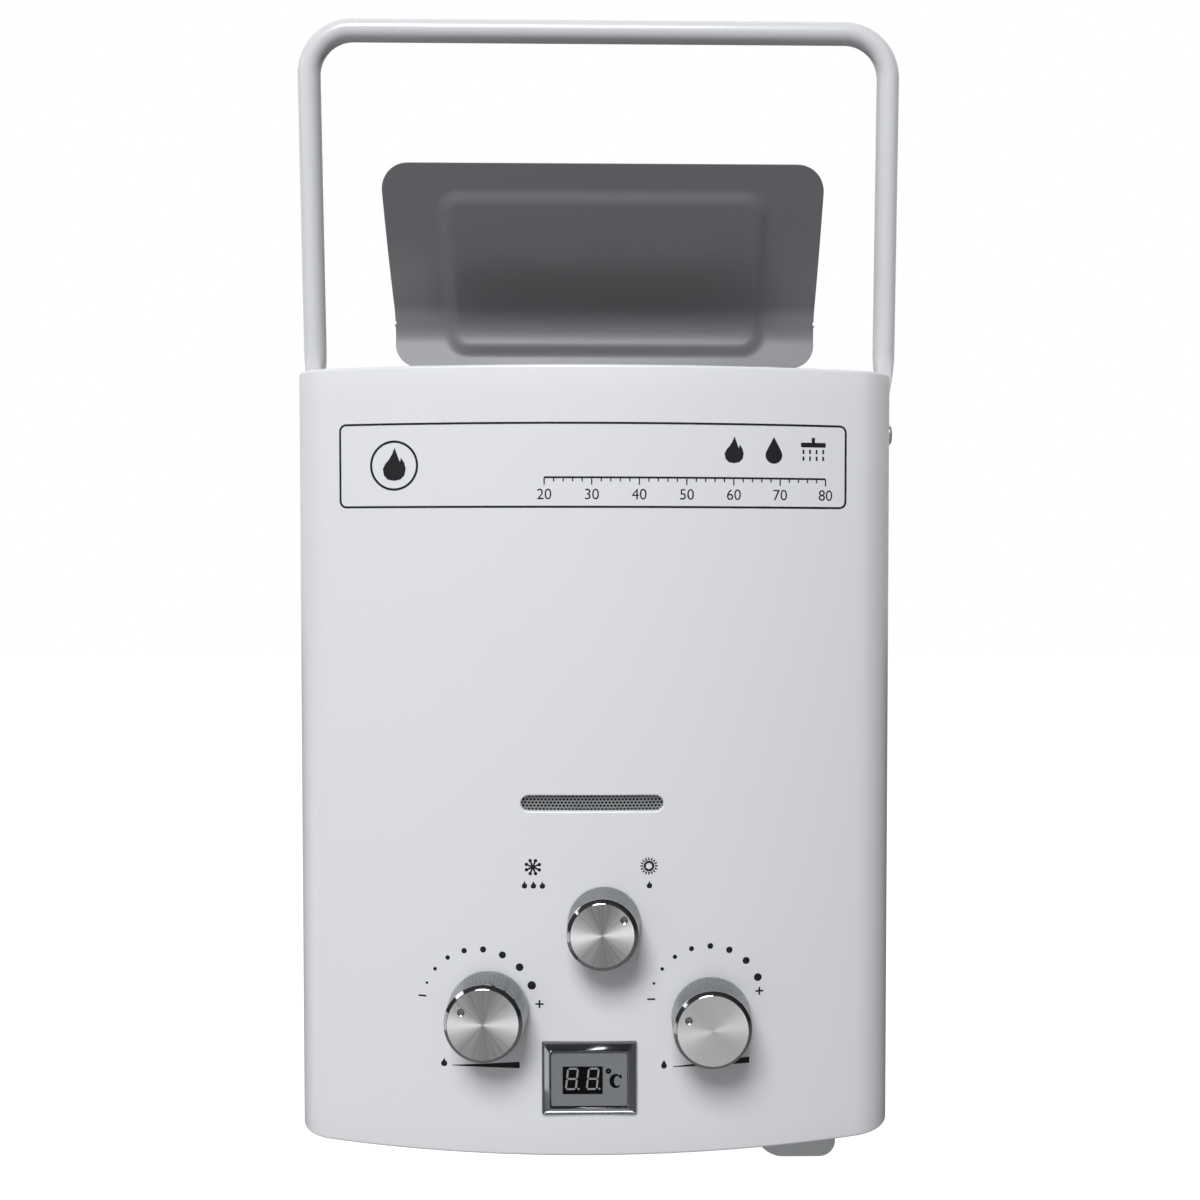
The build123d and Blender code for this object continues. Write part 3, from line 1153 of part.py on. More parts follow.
def handle_spacers():
    """Collars that hold the handle ends off the casing sides."""
    spacers = []
    length = HANDLE_HALF_SPAN - TONGUE_THICKNESS / 2 - FIT_GAP - BODY_WIDTH / 2
    for side in (-1, 1):
        start = (side * BODY_WIDTH / 2, PIVOT_Y, PIVOT_Z)
        collar = bar(start, (side, 0, 0), 7, length)
        spacers.append(collar - bar(start, (side, 0, 0), PIVOT_BOLT_RADIUS + STEM_FIT, length))
    return Compound(spacers)


def handle_nuts():
    """Hexagon nuts on the pivot bolts, inside the casing sides."""
    nuts = []
    for side in (-1, 1):
        start = (side * (BODY_WIDTH / 2 - SHEET), PIVOT_Y, PIVOT_Z)
        nut = hexagon(start, (-side, 0, 0), 10, 4.5)
        nuts.append(nut - bar(start, (-side, 0, 0), PIVOT_BOLT_RADIUS + STEM_FIT, 5))
    return Compound(nuts)


def nodes():
    """Every named piece of the heater."""
    gas = (GAS_KNOB_X, GAS_KNOB_Z)
    water = (WATER_KNOB_X, WATER_KNOB_Z)
    season = (SEASON_KNOB_X, SEASON_KNOB_Z)
    large = (KNOB_BASE_RADIUS, KNOB_RING_RADIUS, KNOB_FACE_RADIUS)
    small = (SEASON_BASE_RADIUS, SEASON_RING_RADIUS, SEASON_FACE_RADIUS)
    return {
        "front_cover": front_cover(),
        "back_plate": back_plate(),
        "top_panel": top_panel(),
        "bottom_panel": bottom_panel(),
        "casing_screws": casing_screws(),
        "flue_hood": flue_hood(),
        "flue_deflector": flue_deflector(),
        "exchanger_core": exchanger_core(),
        "return_bends": return_bends(),
        "combustion_chamber": combustion_chamber(),
        "chamber_coil": chamber_coil(),
        "stack_brackets": stack_brackets(),
        "burner_frame": burner_frame(),
        "burner_blades": burner_blades(),
        "gas_manifold": gas_manifold(),
        "injectors": injectors(),
        "season_valve": season_valve(),
        "gas_valve": gas_valve(),
        "gas_solenoid": gas_solenoid(),
        "water_valve": water_valve(),
        "water_valve_cover": water_valve_cover(),
        "valve_screws": valve_screws(),
        "gas_inlet_nipple": nipple(GAS_NIPPLE_X),
        "cold_inlet_nipple": nipple(COLD_NIPPLE_X),
        "hot_outlet_nipple": nipple(HOT_NIPPLE_X),
        "lock_nuts": lock_nuts(),
        "inlet_filter": inlet_filter(),
        "cold_pipe": cold_pipe(),
        "hot_pipe": hot_pipe(),
        "drain_plug": drain_plug(),
        "push_rod": push_rod(),
        "microswitch": microswitch(),
        "switch_plunger": switch_plunger(),
        "gas_stem": stem(*gas, STEM_END),
        "water_stem": stem(*water, STEM_END),
        "season_stem": stem(*season, SEASON_STEM_END),
        "gas_knob": knob_shell(*gas, *large, GAS_DIMPLE_ANGLE),
        "water_knob": knob_shell(*water, *large, WATER_DIMPLE_ANGLE),
        "season_knob": knob_shell(*season, *small, SEASON_DIMPLE_ANGLE),
        "gas_knob_core": knob_core(*gas, KNOB_BASE_RADIUS),
        "water_knob_core": knob_core(*water, KNOB_BASE_RADIUS),
        "season_knob_core": knob_core(*season, SEASON_BASE_RADIUS),
        "display_bezel": display_bezel(),
        "display_lens": display_lens(),
        "display_module": display_module(),
        "viewing_grille": viewing_grille(),
        "igniter_module": igniter_module(),
        "spark_electrode": electrode(-1),
        "flame_sensor": electrode(1),
        "overheat_switch": overheat_switch(),
        "battery_box": battery_box(),
        "battery_contacts": battery_contacts(),
        "dry_cells": dry_cells(),
        "battery_lid": battery_lid(),
        "lid_contact_strip": lid_contact_strip(),
        "handle": handle(),
        "handle_bolts": handle_bolts(),
        "handle_spacers": handle_spacers(),
        "handle_nuts": handle_nuts(),
    }


os.makedirs("parts", exist_ok=True)
for name, shape in nodes().items():
    export_step(shape, f"parts/{name}.step")
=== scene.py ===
"""Looks of a portable propane water heater: finishes, printed marks, knurled knobs, pressed sheets,
perforations and screws round the fixed frame, in a plain studio."""

import json
from math import asin, copysign, cos, hypot, pi, radians, sin, sqrt, tan

import bmesh
import bpy
from mathutils import Matrix, Vector


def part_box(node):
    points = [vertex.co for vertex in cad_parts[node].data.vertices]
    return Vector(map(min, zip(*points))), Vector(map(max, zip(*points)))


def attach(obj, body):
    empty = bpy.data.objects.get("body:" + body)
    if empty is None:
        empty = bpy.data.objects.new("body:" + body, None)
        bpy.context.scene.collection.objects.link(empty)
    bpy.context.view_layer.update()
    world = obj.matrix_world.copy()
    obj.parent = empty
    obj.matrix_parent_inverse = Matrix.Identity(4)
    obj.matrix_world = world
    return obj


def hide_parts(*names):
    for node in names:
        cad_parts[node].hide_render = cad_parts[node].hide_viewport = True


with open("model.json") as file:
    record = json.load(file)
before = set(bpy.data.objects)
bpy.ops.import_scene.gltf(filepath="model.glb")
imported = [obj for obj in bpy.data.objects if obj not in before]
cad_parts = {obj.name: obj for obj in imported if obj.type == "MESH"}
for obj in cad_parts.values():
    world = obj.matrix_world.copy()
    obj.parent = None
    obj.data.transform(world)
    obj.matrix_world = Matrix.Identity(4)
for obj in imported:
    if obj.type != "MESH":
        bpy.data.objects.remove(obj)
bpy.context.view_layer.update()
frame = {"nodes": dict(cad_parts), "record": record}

MM = 0.001


def box_mm(node):
    """Lowest and highest corner of a node, in millimetres."""
    low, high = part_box(node)
    return [value / MM for value in low], [value / MM for value in high]


def centre_of(node):
    """Centre of a node in X and Z."""
    low, high = box_mm(node)
    return (low[0] + high[0]) / 2, (low[2] + high[2]) / 2


# ---------------------------------------------------------------- sizes, in millimetres

COVER_LOW, COVER_HIGH = box_mm("front_cover")
HALF_WIDTH = COVER_HIGH[0]
FRONT_Y, REAR_Y = COVER_LOW[1], COVER_HIGH[1]
TOP_Z, BOTTOM_Z = COVER_HIGH[2], COVER_LOW[2]
BOW_RISE = 24.5
CORNER_RADIUS = 26.0
EDGE_RADIUS = 1.5
SHEET = 1.0
LIP = 12.0
BOW_RADIUS = (HALF_WIDTH**2 + BOW_RISE**2) / (2 * BOW_RISE)
BOW_CENTRE_Y = FRONT_Y + BOW_RADIUS
CUT_NEAR, CUT_FAR = FRONT_Y - 5, FRONT_Y + 20


def bow_y(x, inset=0.0):
    """Depth of the bowed front at a distance from the centre line."""
    return BOW_CENTRE_Y - sqrt((BOW_RADIUS - inset) ** 2 - x**2)


# ---------------------------------------------------------------- node trees


def add(tree, kind, **inputs):
    """A new node of a tree, with its inputs set by name; a space in a name is written as _."""
    made = tree.nodes.new(kind)
    for socket, value in inputs.items():
        made.inputs[socket.replace("_", " ")].default_value = value
    return made


def maths(tree, operation, second=None, kind="ShaderNodeMath"):
    """A math node, with its second number where that is fixed."""
    made = tree.nodes.new(kind)
    made.operation = operation
    if second is not None:
        made.inputs[1].default_value = second
    return made


def wire(tree, *runs):
    """Links of a tree; each run is a node, its output, the next node and its input."""
    for source, output, target, socket in runs:
        tree.links.new(source.outputs[output], target.inputs[socket])


def add_ramp(tree, *stops):
    """A colour ramp with a first and a last stop, each a position and a colour."""
    ramp = tree.nodes.new("ShaderNodeValToRGB")
    for element, (position, colour) in zip(ramp.color_ramp.elements, stops):
        element.position = position
        element.color = (*colour, 1)
    return ramp


# ---------------------------------------------------------------- finishes


def finish_of(name, colour, metallic=0.0, roughness=0.5, **sockets):
    """A plain finish; further words name sockets of the shader."""
    material = bpy.data.materials.new(name)
    material.use_nodes = True
    values = {"Base_Color": (*colour, 1.0), "Metallic": metallic, "Roughness": roughness, **sockets}
    for socket, value in values.items():
        shader_of(material).inputs[socket.replace("_", " ")].default_value = value
    return material


def shader_of(material):
    """The shader of a finish."""
    return material.node_tree.nodes["Principled BSDF"]


def surface_noise(tree, scale, stretch, detail=4.0):
    """Noise fixed to the piece, finer with a larger scale, drawn out along an axis by a small stretch."""
    coords = add(tree, "ShaderNodeTexCoord")
    mapping = add(tree, "ShaderNodeMapping", Scale=stretch)
    noise = add(tree, "ShaderNodeTexNoise", Scale=scale, Detail=detail)
    wire(tree, (coords, "Object", mapping, "Vector"), (mapping, "Vector", noise, "Vector"))
    return noise


def add_grain(material, scale, height, stretch=(1, 1, 1), detail=4.0):
    """Fine relief over the whole finish; height is in millimetres."""
    tree = material.node_tree
    noise = surface_noise(tree, scale, stretch, detail)
    bump = add(tree, "ShaderNodeBump", Strength=1.0, Distance=height * MM)
    wire(tree, (noise, "Fac", bump, "Height"), (bump, "Normal", shader_of(material), "Normal"))


def add_mottle(material, scale, light, dark):
    """Slow drift of the base colour between two shades."""
    tree = material.node_tree
    noise = surface_noise(tree, scale, (1, 1, 1))
    ramp = add_ramp(tree, (0.3, dark), (0.7, light))
    wire(tree, (noise, "Fac", ramp, "Fac"), (ramp, "Color", shader_of(material), "Base Color"))


def add_rubbing(material, scale, low, high, stretch=(1, 1, 1)):
    """Uneven polish: the roughness drifts between two values."""
    tree = material.node_tree
    noise = surface_noise(tree, scale, stretch)
    drift = add(tree, "ShaderNodeMapRange", From_Min=0.3, From_Max=0.7, To_Min=low, To_Max=high)
    wire(tree, (noise, "Fac", drift, "Value"), (drift, "Result", shader_of(material), "Roughness"))


def add_darkening_below(material, low, high, colour):
    """Darkens the base colour below a height, fading back over a band up to a second height."""
    tree, shader = material.node_tree, shader_of(material)
    source = shader.inputs["Base Color"].links[0].from_socket
    coords = add(tree, "ShaderNodeTexCoord")
    split = add(tree, "ShaderNodeSeparateXYZ")
    share = add(tree, "ShaderNodeMapRange", From_Min=low * MM, From_Max=high * MM)
    mix = add(tree, "ShaderNodeMix")
    mix.data_type = "RGBA"
    mix.inputs["A"].default_value = (*colour, 1)
    tree.links.new(source, mix.inputs["B"])
    wire(tree, (coords, "Object", split, "Vector"), (split, "Z", share, "Value"))
    wire(tree, (share, "Result", mix, "Factor"), (mix, "Result", shader, "Base Color"))


def add_spangle(material, scale, dark, light):
    """Crystal spangle of hot-dipped zinc."""
    tree = material.node_tree
    coords = add(tree, "ShaderNodeTexCoord")
    spangle = add(tree, "ShaderNodeTexVoronoi", Scale=scale)
    ramp = add_ramp(tree, (0.0, dark), (1.0, light))
    wire(tree, (coords, "Object", spangle, "Vector"), (spangle, "Color", ramp, "Fac"))
    wire(tree, (ramp, "Color", shader_of(material), "Base Color"))


TURNING_PITCH = 0.28
TURNING_DEPTH = 0.0012


def spun_face(name, x, z, dull, bright, streak, roughness):
    """Fine turning rings on a knob face, with a painted highlight in its base colour: bright wedges to its
    sides and fine bright streaks from its centre.
    """
    metal = finish_of(name, (bright, bright, bright), 1.0, roughness, Anisotropic=streak)
    tree, shader = metal.node_tree, shader_of(metal)
    tangent = add(tree, "ShaderNodeTangent")
    tangent.direction_type = "RADIAL"
    tangent.axis = "Y"
    coords = add(tree, "ShaderNodeTexCoord")
    centred = add(tree, "ShaderNodeMapping", Location=(-x * MM, 0, -z * MM), Scale=(1, 0, 1))
    away = maths(tree, "LENGTH", kind="ShaderNodeVectorMath")
    turns = maths(tree, "MULTIPLY", 2 * pi / (TURNING_PITCH * MM))
    rings = maths(tree, "SINE")
    bump = add(tree, "ShaderNodeBump", Strength=1.0, Distance=TURNING_DEPTH * MM)
    way = maths(tree, "NORMALIZE", kind="ShaderNodeVectorMath")
    rays = add(tree, "ShaderNodeTexNoise", Scale=3.2, Detail=4.0, Roughness=0.7)
    split = add(tree, "ShaderNodeSeparateXYZ")
    # Painted highlight: the base colour brightens towards the face's left and right, streaked by the rays
    wedges = maths(tree, "MULTIPLY")
    half_highlight_wedges = maths(tree, "MULTIPLY", 0.5)
    blend = maths(tree, "MULTIPLY_ADD", 0.9)
    ramp = add_ramp(
        tree, (0.42, (dull, dull * 1.02, dull * 1.04)), (0.82, (bright, bright, bright * 1.01))
    )
    wire(
        tree,
        (tangent, "Tangent", shader, "Tangent"), (coords, "Object", centred, "Vector"),
        (centred, "Vector", away, 0), (away, "Value", turns, 0), (turns, 0, rings, 0),
        (rings, 0, bump, "Height"), (bump, "Normal", shader, "Normal"),
        (centred, "Vector", way, 0), (way, "Vector", rays, "Vector"), (way, "Vector", split, "Vector"),
        (split, "X", wedges, 0), (split, "X", wedges, 1), (wedges, 0, half_highlight_wedges, 0),
        (rays, "Fac", blend, 0), (half_highlight_wedges, 0, blend, 2), (blend, 0, ramp, "Fac"),
        (ramp, "Color", shader, "Base Color"),
    )
    return metal


def knob_side(name, level):
    """Satin aluminium of the knob sides."""
    metal = finish_of(name, (level * 0.97, level, level * 1.03), 1.0, 0.34)
    add_rubbing(metal, 400, 0.30, 0.44)
    return metal


def moulded(name, colour, roughness, grain=0.015, **sockets):
    """Moulded plastic with a fine eroded grain."""
    plastic = finish_of(name, colour, roughness=roughness, **sockets)
    add_grain(plastic, 1600, grain)
    add_rubbing(plastic, 50, roughness - 0.05, roughness + 0.05)
    return plastic


# Semi-gloss white enamel of the casing, with a faint orange peel
PAINT = finish_of("white_powder_coat", (0.733, 0.743, 0.767), roughness=0.34)
add_grain(PAINT, 900, 0.006, detail=2)
add_rubbing(PAINT, 14, 0.30, 0.38)

# Thicker, glossier white enamel on the handle's tube
ENAMEL = finish_of("handle_enamel", (0.64, 0.65, 0.67), roughness=0.22)
add_grain(ENAMEL, 500, 0.01, detail=2)
add_rubbing(ENAMEL, 20, 0.18, 0.28)

# Zinc-coated sheet
ZINC_SHEET = finish_of("galvanised", (0.60, 0.61, 0.62), 0.9, 0.42)
add_spangle(ZINC_SHEET, 160.0, (0.54, 0.55, 0.56), (0.66, 0.67, 0.68))
add_rubbing(ZINC_SHEET, 60, 0.36, 0.5)

# Grey satin sheet of the deflector
STEEL_SHEET = finish_of("rolled_steel", (0.18, 0.185, 0.195), 0.35, 0.46)
add_grain(STEEL_SHEET, 700, 0.008, stretch=(0.08, 1, 1))
add_rubbing(STEEL_SHEET, 30, 0.42, 0.52, stretch=(0.2, 1, 1))

# Drawn copper, a little dulled, and nearly black below a height
COPPER = finish_of("copper", (0.75, 0.40, 0.26), 1.0, 0.32)
add_mottle(COPPER, 25, (0.78, 0.43, 0.29), (0.62, 0.33, 0.22))
add_rubbing(COPPER, 90, 0.26, 0.42)
add_darkening_below(COPPER, -150.0, -95.0, (0.012, 0.010, 0.010))

# Pressed burner steel with a straw tint from heat
BURNER_STEEL = finish_of("burner_steel", (0.5, 0.48, 0.45), 1.0, 0.4)
add_mottle(BURNER_STEEL, 18, (0.30, 0.28, 0.26), (0.20, 0.17, 0.14))
add_rubbing(BURNER_STEEL, 60, 0.42, 0.58)

# Die-cast alloy with a fine skin
CAST = finish_of("cast_alloy", (0.58, 0.59, 0.60), 0.9, 0.5)
add_grain(CAST, 1400, 0.02)

# Turned brass
BRASS = finish_of("turned_brass", (0.78, 0.60, 0.30), 1.0, 0.28)
add_grain(BRASS, 1200, 0.006, stretch=(1, 1, 0.1))
add_rubbing(BRASS, 80, 0.22, 0.36)

# Bright zinc plating on screws, nuts and contacts
PLATED = finish_of("zinc_plate", (0.66, 0.67, 0.68), 1.0, 0.3)
add_rubbing(PLATED, 300, 0.24, 0.38)

# Dark lacquer on the solenoid
LACQUER = finish_of("dark_lacquer", (0.03, 0.035, 0.05), roughness=0.3)
add_rubbing(LACQUER, 90, 0.25, 0.4)

# Satin sides of the knobs, and their diamond-cut bevels; the plain side is the same satin aluminium set
# darker, as painted shade
SIDE_METAL = knob_side("knurled_side", 0.45)
PLAIN_SIDE_PAINTED_SHADE = knob_side("plain_side_painted_shade", 0.27)
BEVEL_METAL = finish_of("bright_bevel", (0.32, 0.32, 0.33), 1.0, 0.06)
add_rubbing(BEVEL_METAL, 200, 0.04, 0.09)

# Bright plating over moulded plastic, with a slight ripple
BEZEL = finish_of("bezel_chrome", (0.27, 0.275, 0.285), 1.0, 0.07)
add_grain(BEZEL, 120, 0.02, detail=1)

# Clear acrylic
WINDOW = finish_of("clear_window", (0.02, 0.02, 0.02), roughness=0.04, Alpha=0.04, Specular_IOR_Level=0.12)
add_rubbing(WINDOW, 40, 0.03, 0.06)

# Matt dark screen print
INK = finish_of("printed_ink", (0.010, 0.011, 0.013), roughness=0.6, Specular_IOR_Level=0.25)
add_rubbing(INK, 300, 0.5, 0.6)

# Glazed ceramic sleeve
CERAMIC = finish_of("white_ceramic", (0.82, 0.80, 0.76), roughness=0.2)
add_rubbing(CERAMIC, 120, 0.15, 0.28)

# Lacquered jacket of a dry cell
JACKET = finish_of("cell_jacket", (0.10, 0.12, 0.15), 0.6, 0.3)
add_rubbing(JACKET, 60, 0.24, 0.36)

# Perforated plate
GRILLE_METAL = finish_of("grille_metal", (0.40, 0.41, 0.42), 0.8, 0.42)
add_rubbing(GRILLE_METAL, 300, 0.36, 0.5)

BLACK_PLASTIC = moulded("black_plastic", (0.02, 0.02, 0.022), 0.45)
INSERT_PLASTIC = moulded("insert_plastic", (0.05, 0.05, 0.055), 0.5)
GREY_PLASTIC = moulded("grey_plastic", (0.69, 0.708, 0.726), 0.42)
PANEL_GREY = moulded("panel_grey", (0.22, 0.232, 0.242), 0.5, 0.004)
DIGIT_BLACK = moulded("digit_black", (0.003, 0.003, 0.004), 0.6, 0.003, Specular_IOR_Level=0.05)
DIGIT_GREY = moulded("digit_grey", (0.33, 0.34, 0.345), 0.4, 0.003)
RED_PLASTIC = moulded("red_plastic", (0.42, 0.02, 0.015), 0.35)

FINISH_OF_SLOT = {
    "white_enamel": PAINT,
    "zinc_sheet": ZINC_SHEET,
    "deflector_steel": STEEL_SHEET,
    "copper": COPPER,
    "burner_steel": BURNER_STEEL,
    "cast_alloy": CAST,
    "brass": BRASS,
    "bright_screw": PLATED,
    "solenoid_coat": LACQUER,
    "spun_aluminium": SIDE_METAL,
    "knob_insert": INSERT_PLASTIC,
    "bezel_chrome": BEZEL,
    "window": WINDOW,
    "display_grey": PANEL_GREY,
    "grille_steel": GRILLE_METAL,
    "black_plastic": BLACK_PLASTIC,
    "plunger_red": RED_PLASTIC,
    "ceramic": CERAMIC,
    "thermostat": BLACK_PLASTIC,
    "grey_plastic": GREY_PLASTIC,
    "cell_jacket": JACKET,
    "handle_enamel": ENAMEL,
    "drain_plastic": BLACK_PLASTIC,
}


def dress_frame():
    """Gives every node of the frame the finish of its slot."""
    slots = {entry["node"]: entry["material_slot"] for entry in frame["record"]["subparts"]}
    for name, piece in frame["nodes"].items():
        piece.data.materials.clear()
        piece.data.materials.append(FINISH_OF_SLOT[slots[name]])


# ---------------------------------------------------------------- making meshes


def object_of(name, data):
    """A new object of the scene that holds a mesh, a curve, a lamp or a lens."""
    made = bpy.data.objects.new(name, data)
    bpy.context.scene.collection.objects.link(made)
    return made


def piece_from(name, points, faces, *materials):
    """A mesh piece from points in millimetres."""
    mesh = bpy.data.meshes.new(name)
    mesh.from_pydata([(x * MM, y * MM, z * MM) for x, y, z in points], [], faces)
    for material in materials:
        mesh.materials.append(material)
    return object_of(name, mesh)


def grid_faces(rows, count, around=True, closed=False):
    """Faces between rows of points.

    Around joins the two ends of each row, and closed joins the last row to the first."""
    faces = []
    for row in range(rows if closed else rows - 1):
        near, far = row * count, (row + 1) % rows * count
        for index in range(count if around else count - 1):
            after = (index + 1) % count
            faces.append([near + index, near + after, far + after, far + index])
    return faces


def smooth(piece, angle):
    """Smooths everything but edges sharper than an angle in degrees."""
    piece.data.shade_smooth()
    piece.data.set_sharp_from_angle(angle=radians(angle))
    return piece


def tidy_mesh(piece, angle=32.0, merge=0.0005):
    """Merges doubles, turns faces outwards and smooths everything but the sharp edges."""
    sculpt = bmesh.new()
    sculpt.from_mesh(piece.data)
    bmesh.ops.remove_doubles(sculpt, verts=sculpt.verts, dist=merge * MM)
    bmesh.ops.recalc_face_normals(sculpt, faces=sculpt.faces)
    sculpt.to_mesh(piece.data)
    sculpt.free()
    return smooth(piece, angle)


def settle(piece):
    """Turns what the modifiers make into the piece's own plain mesh."""
    bpy.context.view_layer.update()
    graph = bpy.context.evaluated_depsgraph_get()
    mesh = bpy.data.meshes.new_from_object(piece.evaluated_get(graph))
    piece.modifiers.clear()
    piece.data = mesh
    return piece


def thicken(piece, thickness, offset=-1.0, even=True):
    """Gives an open sheet its thickness, inwards, outwards or to both sides."""
    wall = piece.modifiers.new("wall", "SOLIDIFY")
    wall.thickness = thickness * MM
    wall.offset = offset
    wall.use_even_offset = even
    return settle(piece)


def drill(piece, cutters):
    """Cuts the cutters out of a piece and removes them."""
    for cutter in cutters:
        hole = piece.modifiers.new("hole", "BOOLEAN")
        hole.operation = "DIFFERENCE"
        hole.solver = "EXACT"
        hole.object = cutter
    settle(piece)
    for cutter in cutters:
        bpy.data.objects.remove(cutter)
    return piece


def refinish(piece, material, angle):
    """One finish over all of a cut piece."""
    piece.data.materials.clear()
    piece.data.materials.append(material)
    for face in piece.data.polygons:
        face.material_index = 0
    return smooth(piece, angle)


def fuse(name, pieces):
    """Joins pieces of one body into one mesh that keeps their finishes."""
    materials = []
    joined = bmesh.new()
    for piece in pieces:
        start = len(joined.faces)
        slots = []
        for material in piece.data.materials:
            if material not in materials:
                materials.append(material)
            slots.append(materials.index(material))
        joined.from_mesh(piece.data)
        joined.faces.ensure_lookup_table()
        for face in joined.faces[start:]:
            face.material_index = slots[face.material_index] if slots else 0
    mesh = bpy.data.meshes.new(name)
    joined.to_mesh(mesh)
    joined.free()
    for material in materials:
        mesh.materials.append(material)
    for piece in pieces:
        bpy.data.objects.remove(piece)
    return object_of(name, mesh)


def place(piece, body, slot_name, *replaced):
    """Puts a finished piece on its body and lets it stand for frame nodes."""
    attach(piece, body)
    if replaced:
        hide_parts(*replaced)
    return piece


def shift(piece, x, y, z):
    """Moves the points of a piece, in millimetres."""
    piece.data.transform(Matrix.Translation(Vector((x, y, z)) * MM))
    return piece


def turn(piece, angle, axis="X"):
    """Turns the points of a piece about an axis through the origin."""
    piece.data.transform(Matrix.Rotation(angle, 4, axis))
    return piece


# ---------------------------------------------------------------- outlines and plain bodies


def polar(x, z, radius, angle):
    """A point at a distance and an angle from another point."""
    return x + radius * cos(angle), z + radius * sin(angle)


def rounded_rectangle(x, z, width, height, radius, steps=6):
    """Outline of a rectangle with round corners."""
    outline = []
    for corner, (sx, sz) in enumerate(((1, 1), (-1, 1), (-1, -1), (1, -1))):
        for step in range(steps + 1):
            angle = pi / 2 * (corner + step / steps)
            centre_x, centre_z = x + sx * (width / 2 - radius), z + sz * (height / 2 - radius)
            outline.append(polar(centre_x, centre_z, radius, angle))
    return outline


def stadium(x, z, length, height, steps=20):
    """Outline of a slot with round ends."""
    return rounded_rectangle(x, z, length, height, height / 2 - 0.0001, steps)


def circle(x, z, radius, steps=32):
    """Outline of a circle."""
    return [polar(x, z, radius, 2 * pi * index / steps) for index in range(steps)]


def solid(name, rings, *materials, angle=32.0, merge=0.0005):
    """A closed body through rings of points, with flat ends."""
    count = len(rings[0])
    points = [point for ring in rings for point in ring]
    last = len(points) - count
    faces = [list(range(count)), list(range(last, last + count))] + grid_faces(len(rings), count)
    return tidy_mesh(piece_from(name, points, faces, *materials), angle, merge)


def prism(name, outline, near, far, *materials):
    """A closed prism along Y over an outline in X and Z."""
    return solid(name, [[(x, y, z) for x, z in outline] for y in (near, far)], *materials)


def bar(name, start, along, radius, length):
    """A closed round bar from a start point along a direction."""
    along = Vector(along).normalized()
    side = along.orthogonal().normalized()
    other = along.cross(side)
    rings = []
    for reach in (0, length):
        centre = Vector(start) + along * reach
        rings.append([centre + side * u + other * v for u, v in circle(0, 0, radius)])
    return solid(name, rings)


def hollow(name, rings, material, angle=32.0):
    """A closed shell through rings of points, the last joined to the first."""
    points = [point for ring in rings for point in ring]
    faces = grid_faces(len(rings), len(rings[0]), closed=True)
    return tidy_mesh(piece_from(name, points, faces, material), angle)


def lathe(name, profile, x, z, back, segments, *finishes):
    """A body turned about an axis parallel to Y, from radii and their reach in front of the back.

    Each finish is a material and the number of bands of the profile that it covers."""
    points = []
    for radius, reach in profile:
        points += [(px, back - reach, pz) for px, pz in circle(x, z, radius, segments)]
    faces = grid_faces(len(profile), segments)
    piece = piece_from(name, points, faces, *(material for material, bands in finishes))
    finish_of_band = []
    for index, (material, bands) in enumerate(finishes):
        finish_of_band += [index] * bands
    for number, face in enumerate(piece.data.polygons):
        face.material_index = finish_of_band[number // segments]
    return tidy_mesh(piece, 28)


# ---------------------------------------------------------------- repeated parts, by geometry nodes


def copies_tree():
    """Copies of one small part on the points of a mesh, each turned by the point's own angles."""
    tree = bpy.data.node_groups.new("copies_on_points", "GeometryNodeTree")
    for label, kind in (("Geometry", "Geometry"), ("Part", "Object"), ("Finish", "Material")):
        tree.interface.new_socket(name=label, in_out="INPUT", socket_type="NodeSocket" + kind)
    tree.interface.new_socket(name="Geometry", in_out="OUTPUT", socket_type="NodeSocketGeometry")
    start = add(tree, "NodeGroupInput")
    points = add(tree, "GeometryNodeMeshToPoints")
    part = add(tree, "GeometryNodeObjectInfo")
    angles = add(tree, "GeometryNodeInputNamedAttribute", Name="angles")
    angles.data_type = "FLOAT_VECTOR"
    rotation = add(tree, "FunctionNodeEulerToRotation")
    instances = add(tree, "GeometryNodeInstanceOnPoints")
    real = add(tree, "GeometryNodeRealizeInstances")
    paint = add(tree, "GeometryNodeSetMaterial")
    end = add(tree, "NodeGroupOutput")
    wire(
        tree,
        (start, "Geometry", points, "Mesh"), (start, "Part", part, "Object"),
        (points, "Points", instances, "Points"), (part, "Geometry", instances, "Instance"),
        (angles, "Attribute", rotation, "Euler"), (rotation, "Rotation", instances, "Rotation"),
        (instances, "Instances", real, "Geometry"), (real, "Geometry", paint, "Geometry"),
        (start, "Finish", paint, "Material"), (paint, "Geometry", end, "Geometry"),
    )
    return tree


COPIES = copies_tree()
UPRIGHT = (0, 0, 0)


def copies(name, part, seats, material):
    """A plain mesh of copies of a part; a seat is a point in millimetres and its angles about X, Y and Z."""
    holder = piece_from(name, [point for point, angles in seats], [])
    attribute = holder.data.attributes.new("angles", "FLOAT_VECTOR", "POINT")
    for index, (point, angles) in enumerate(seats):
        attribute.data[index].vector = angles
    grower = holder.modifiers.new("grower", "NODES")
    grower.node_group = COPIES
    settings = {"Part": part, "Finish": material}
    for item in COPIES.interface.items_tree:
        if item.in_out == "INPUT" and item.name in settings:
            grower[item.identifier] = settings[item.name]
    settle(holder)
    bpy.data.objects.remove(part)
    return holder


# ---------------------------------------------------------------- the bowed cover

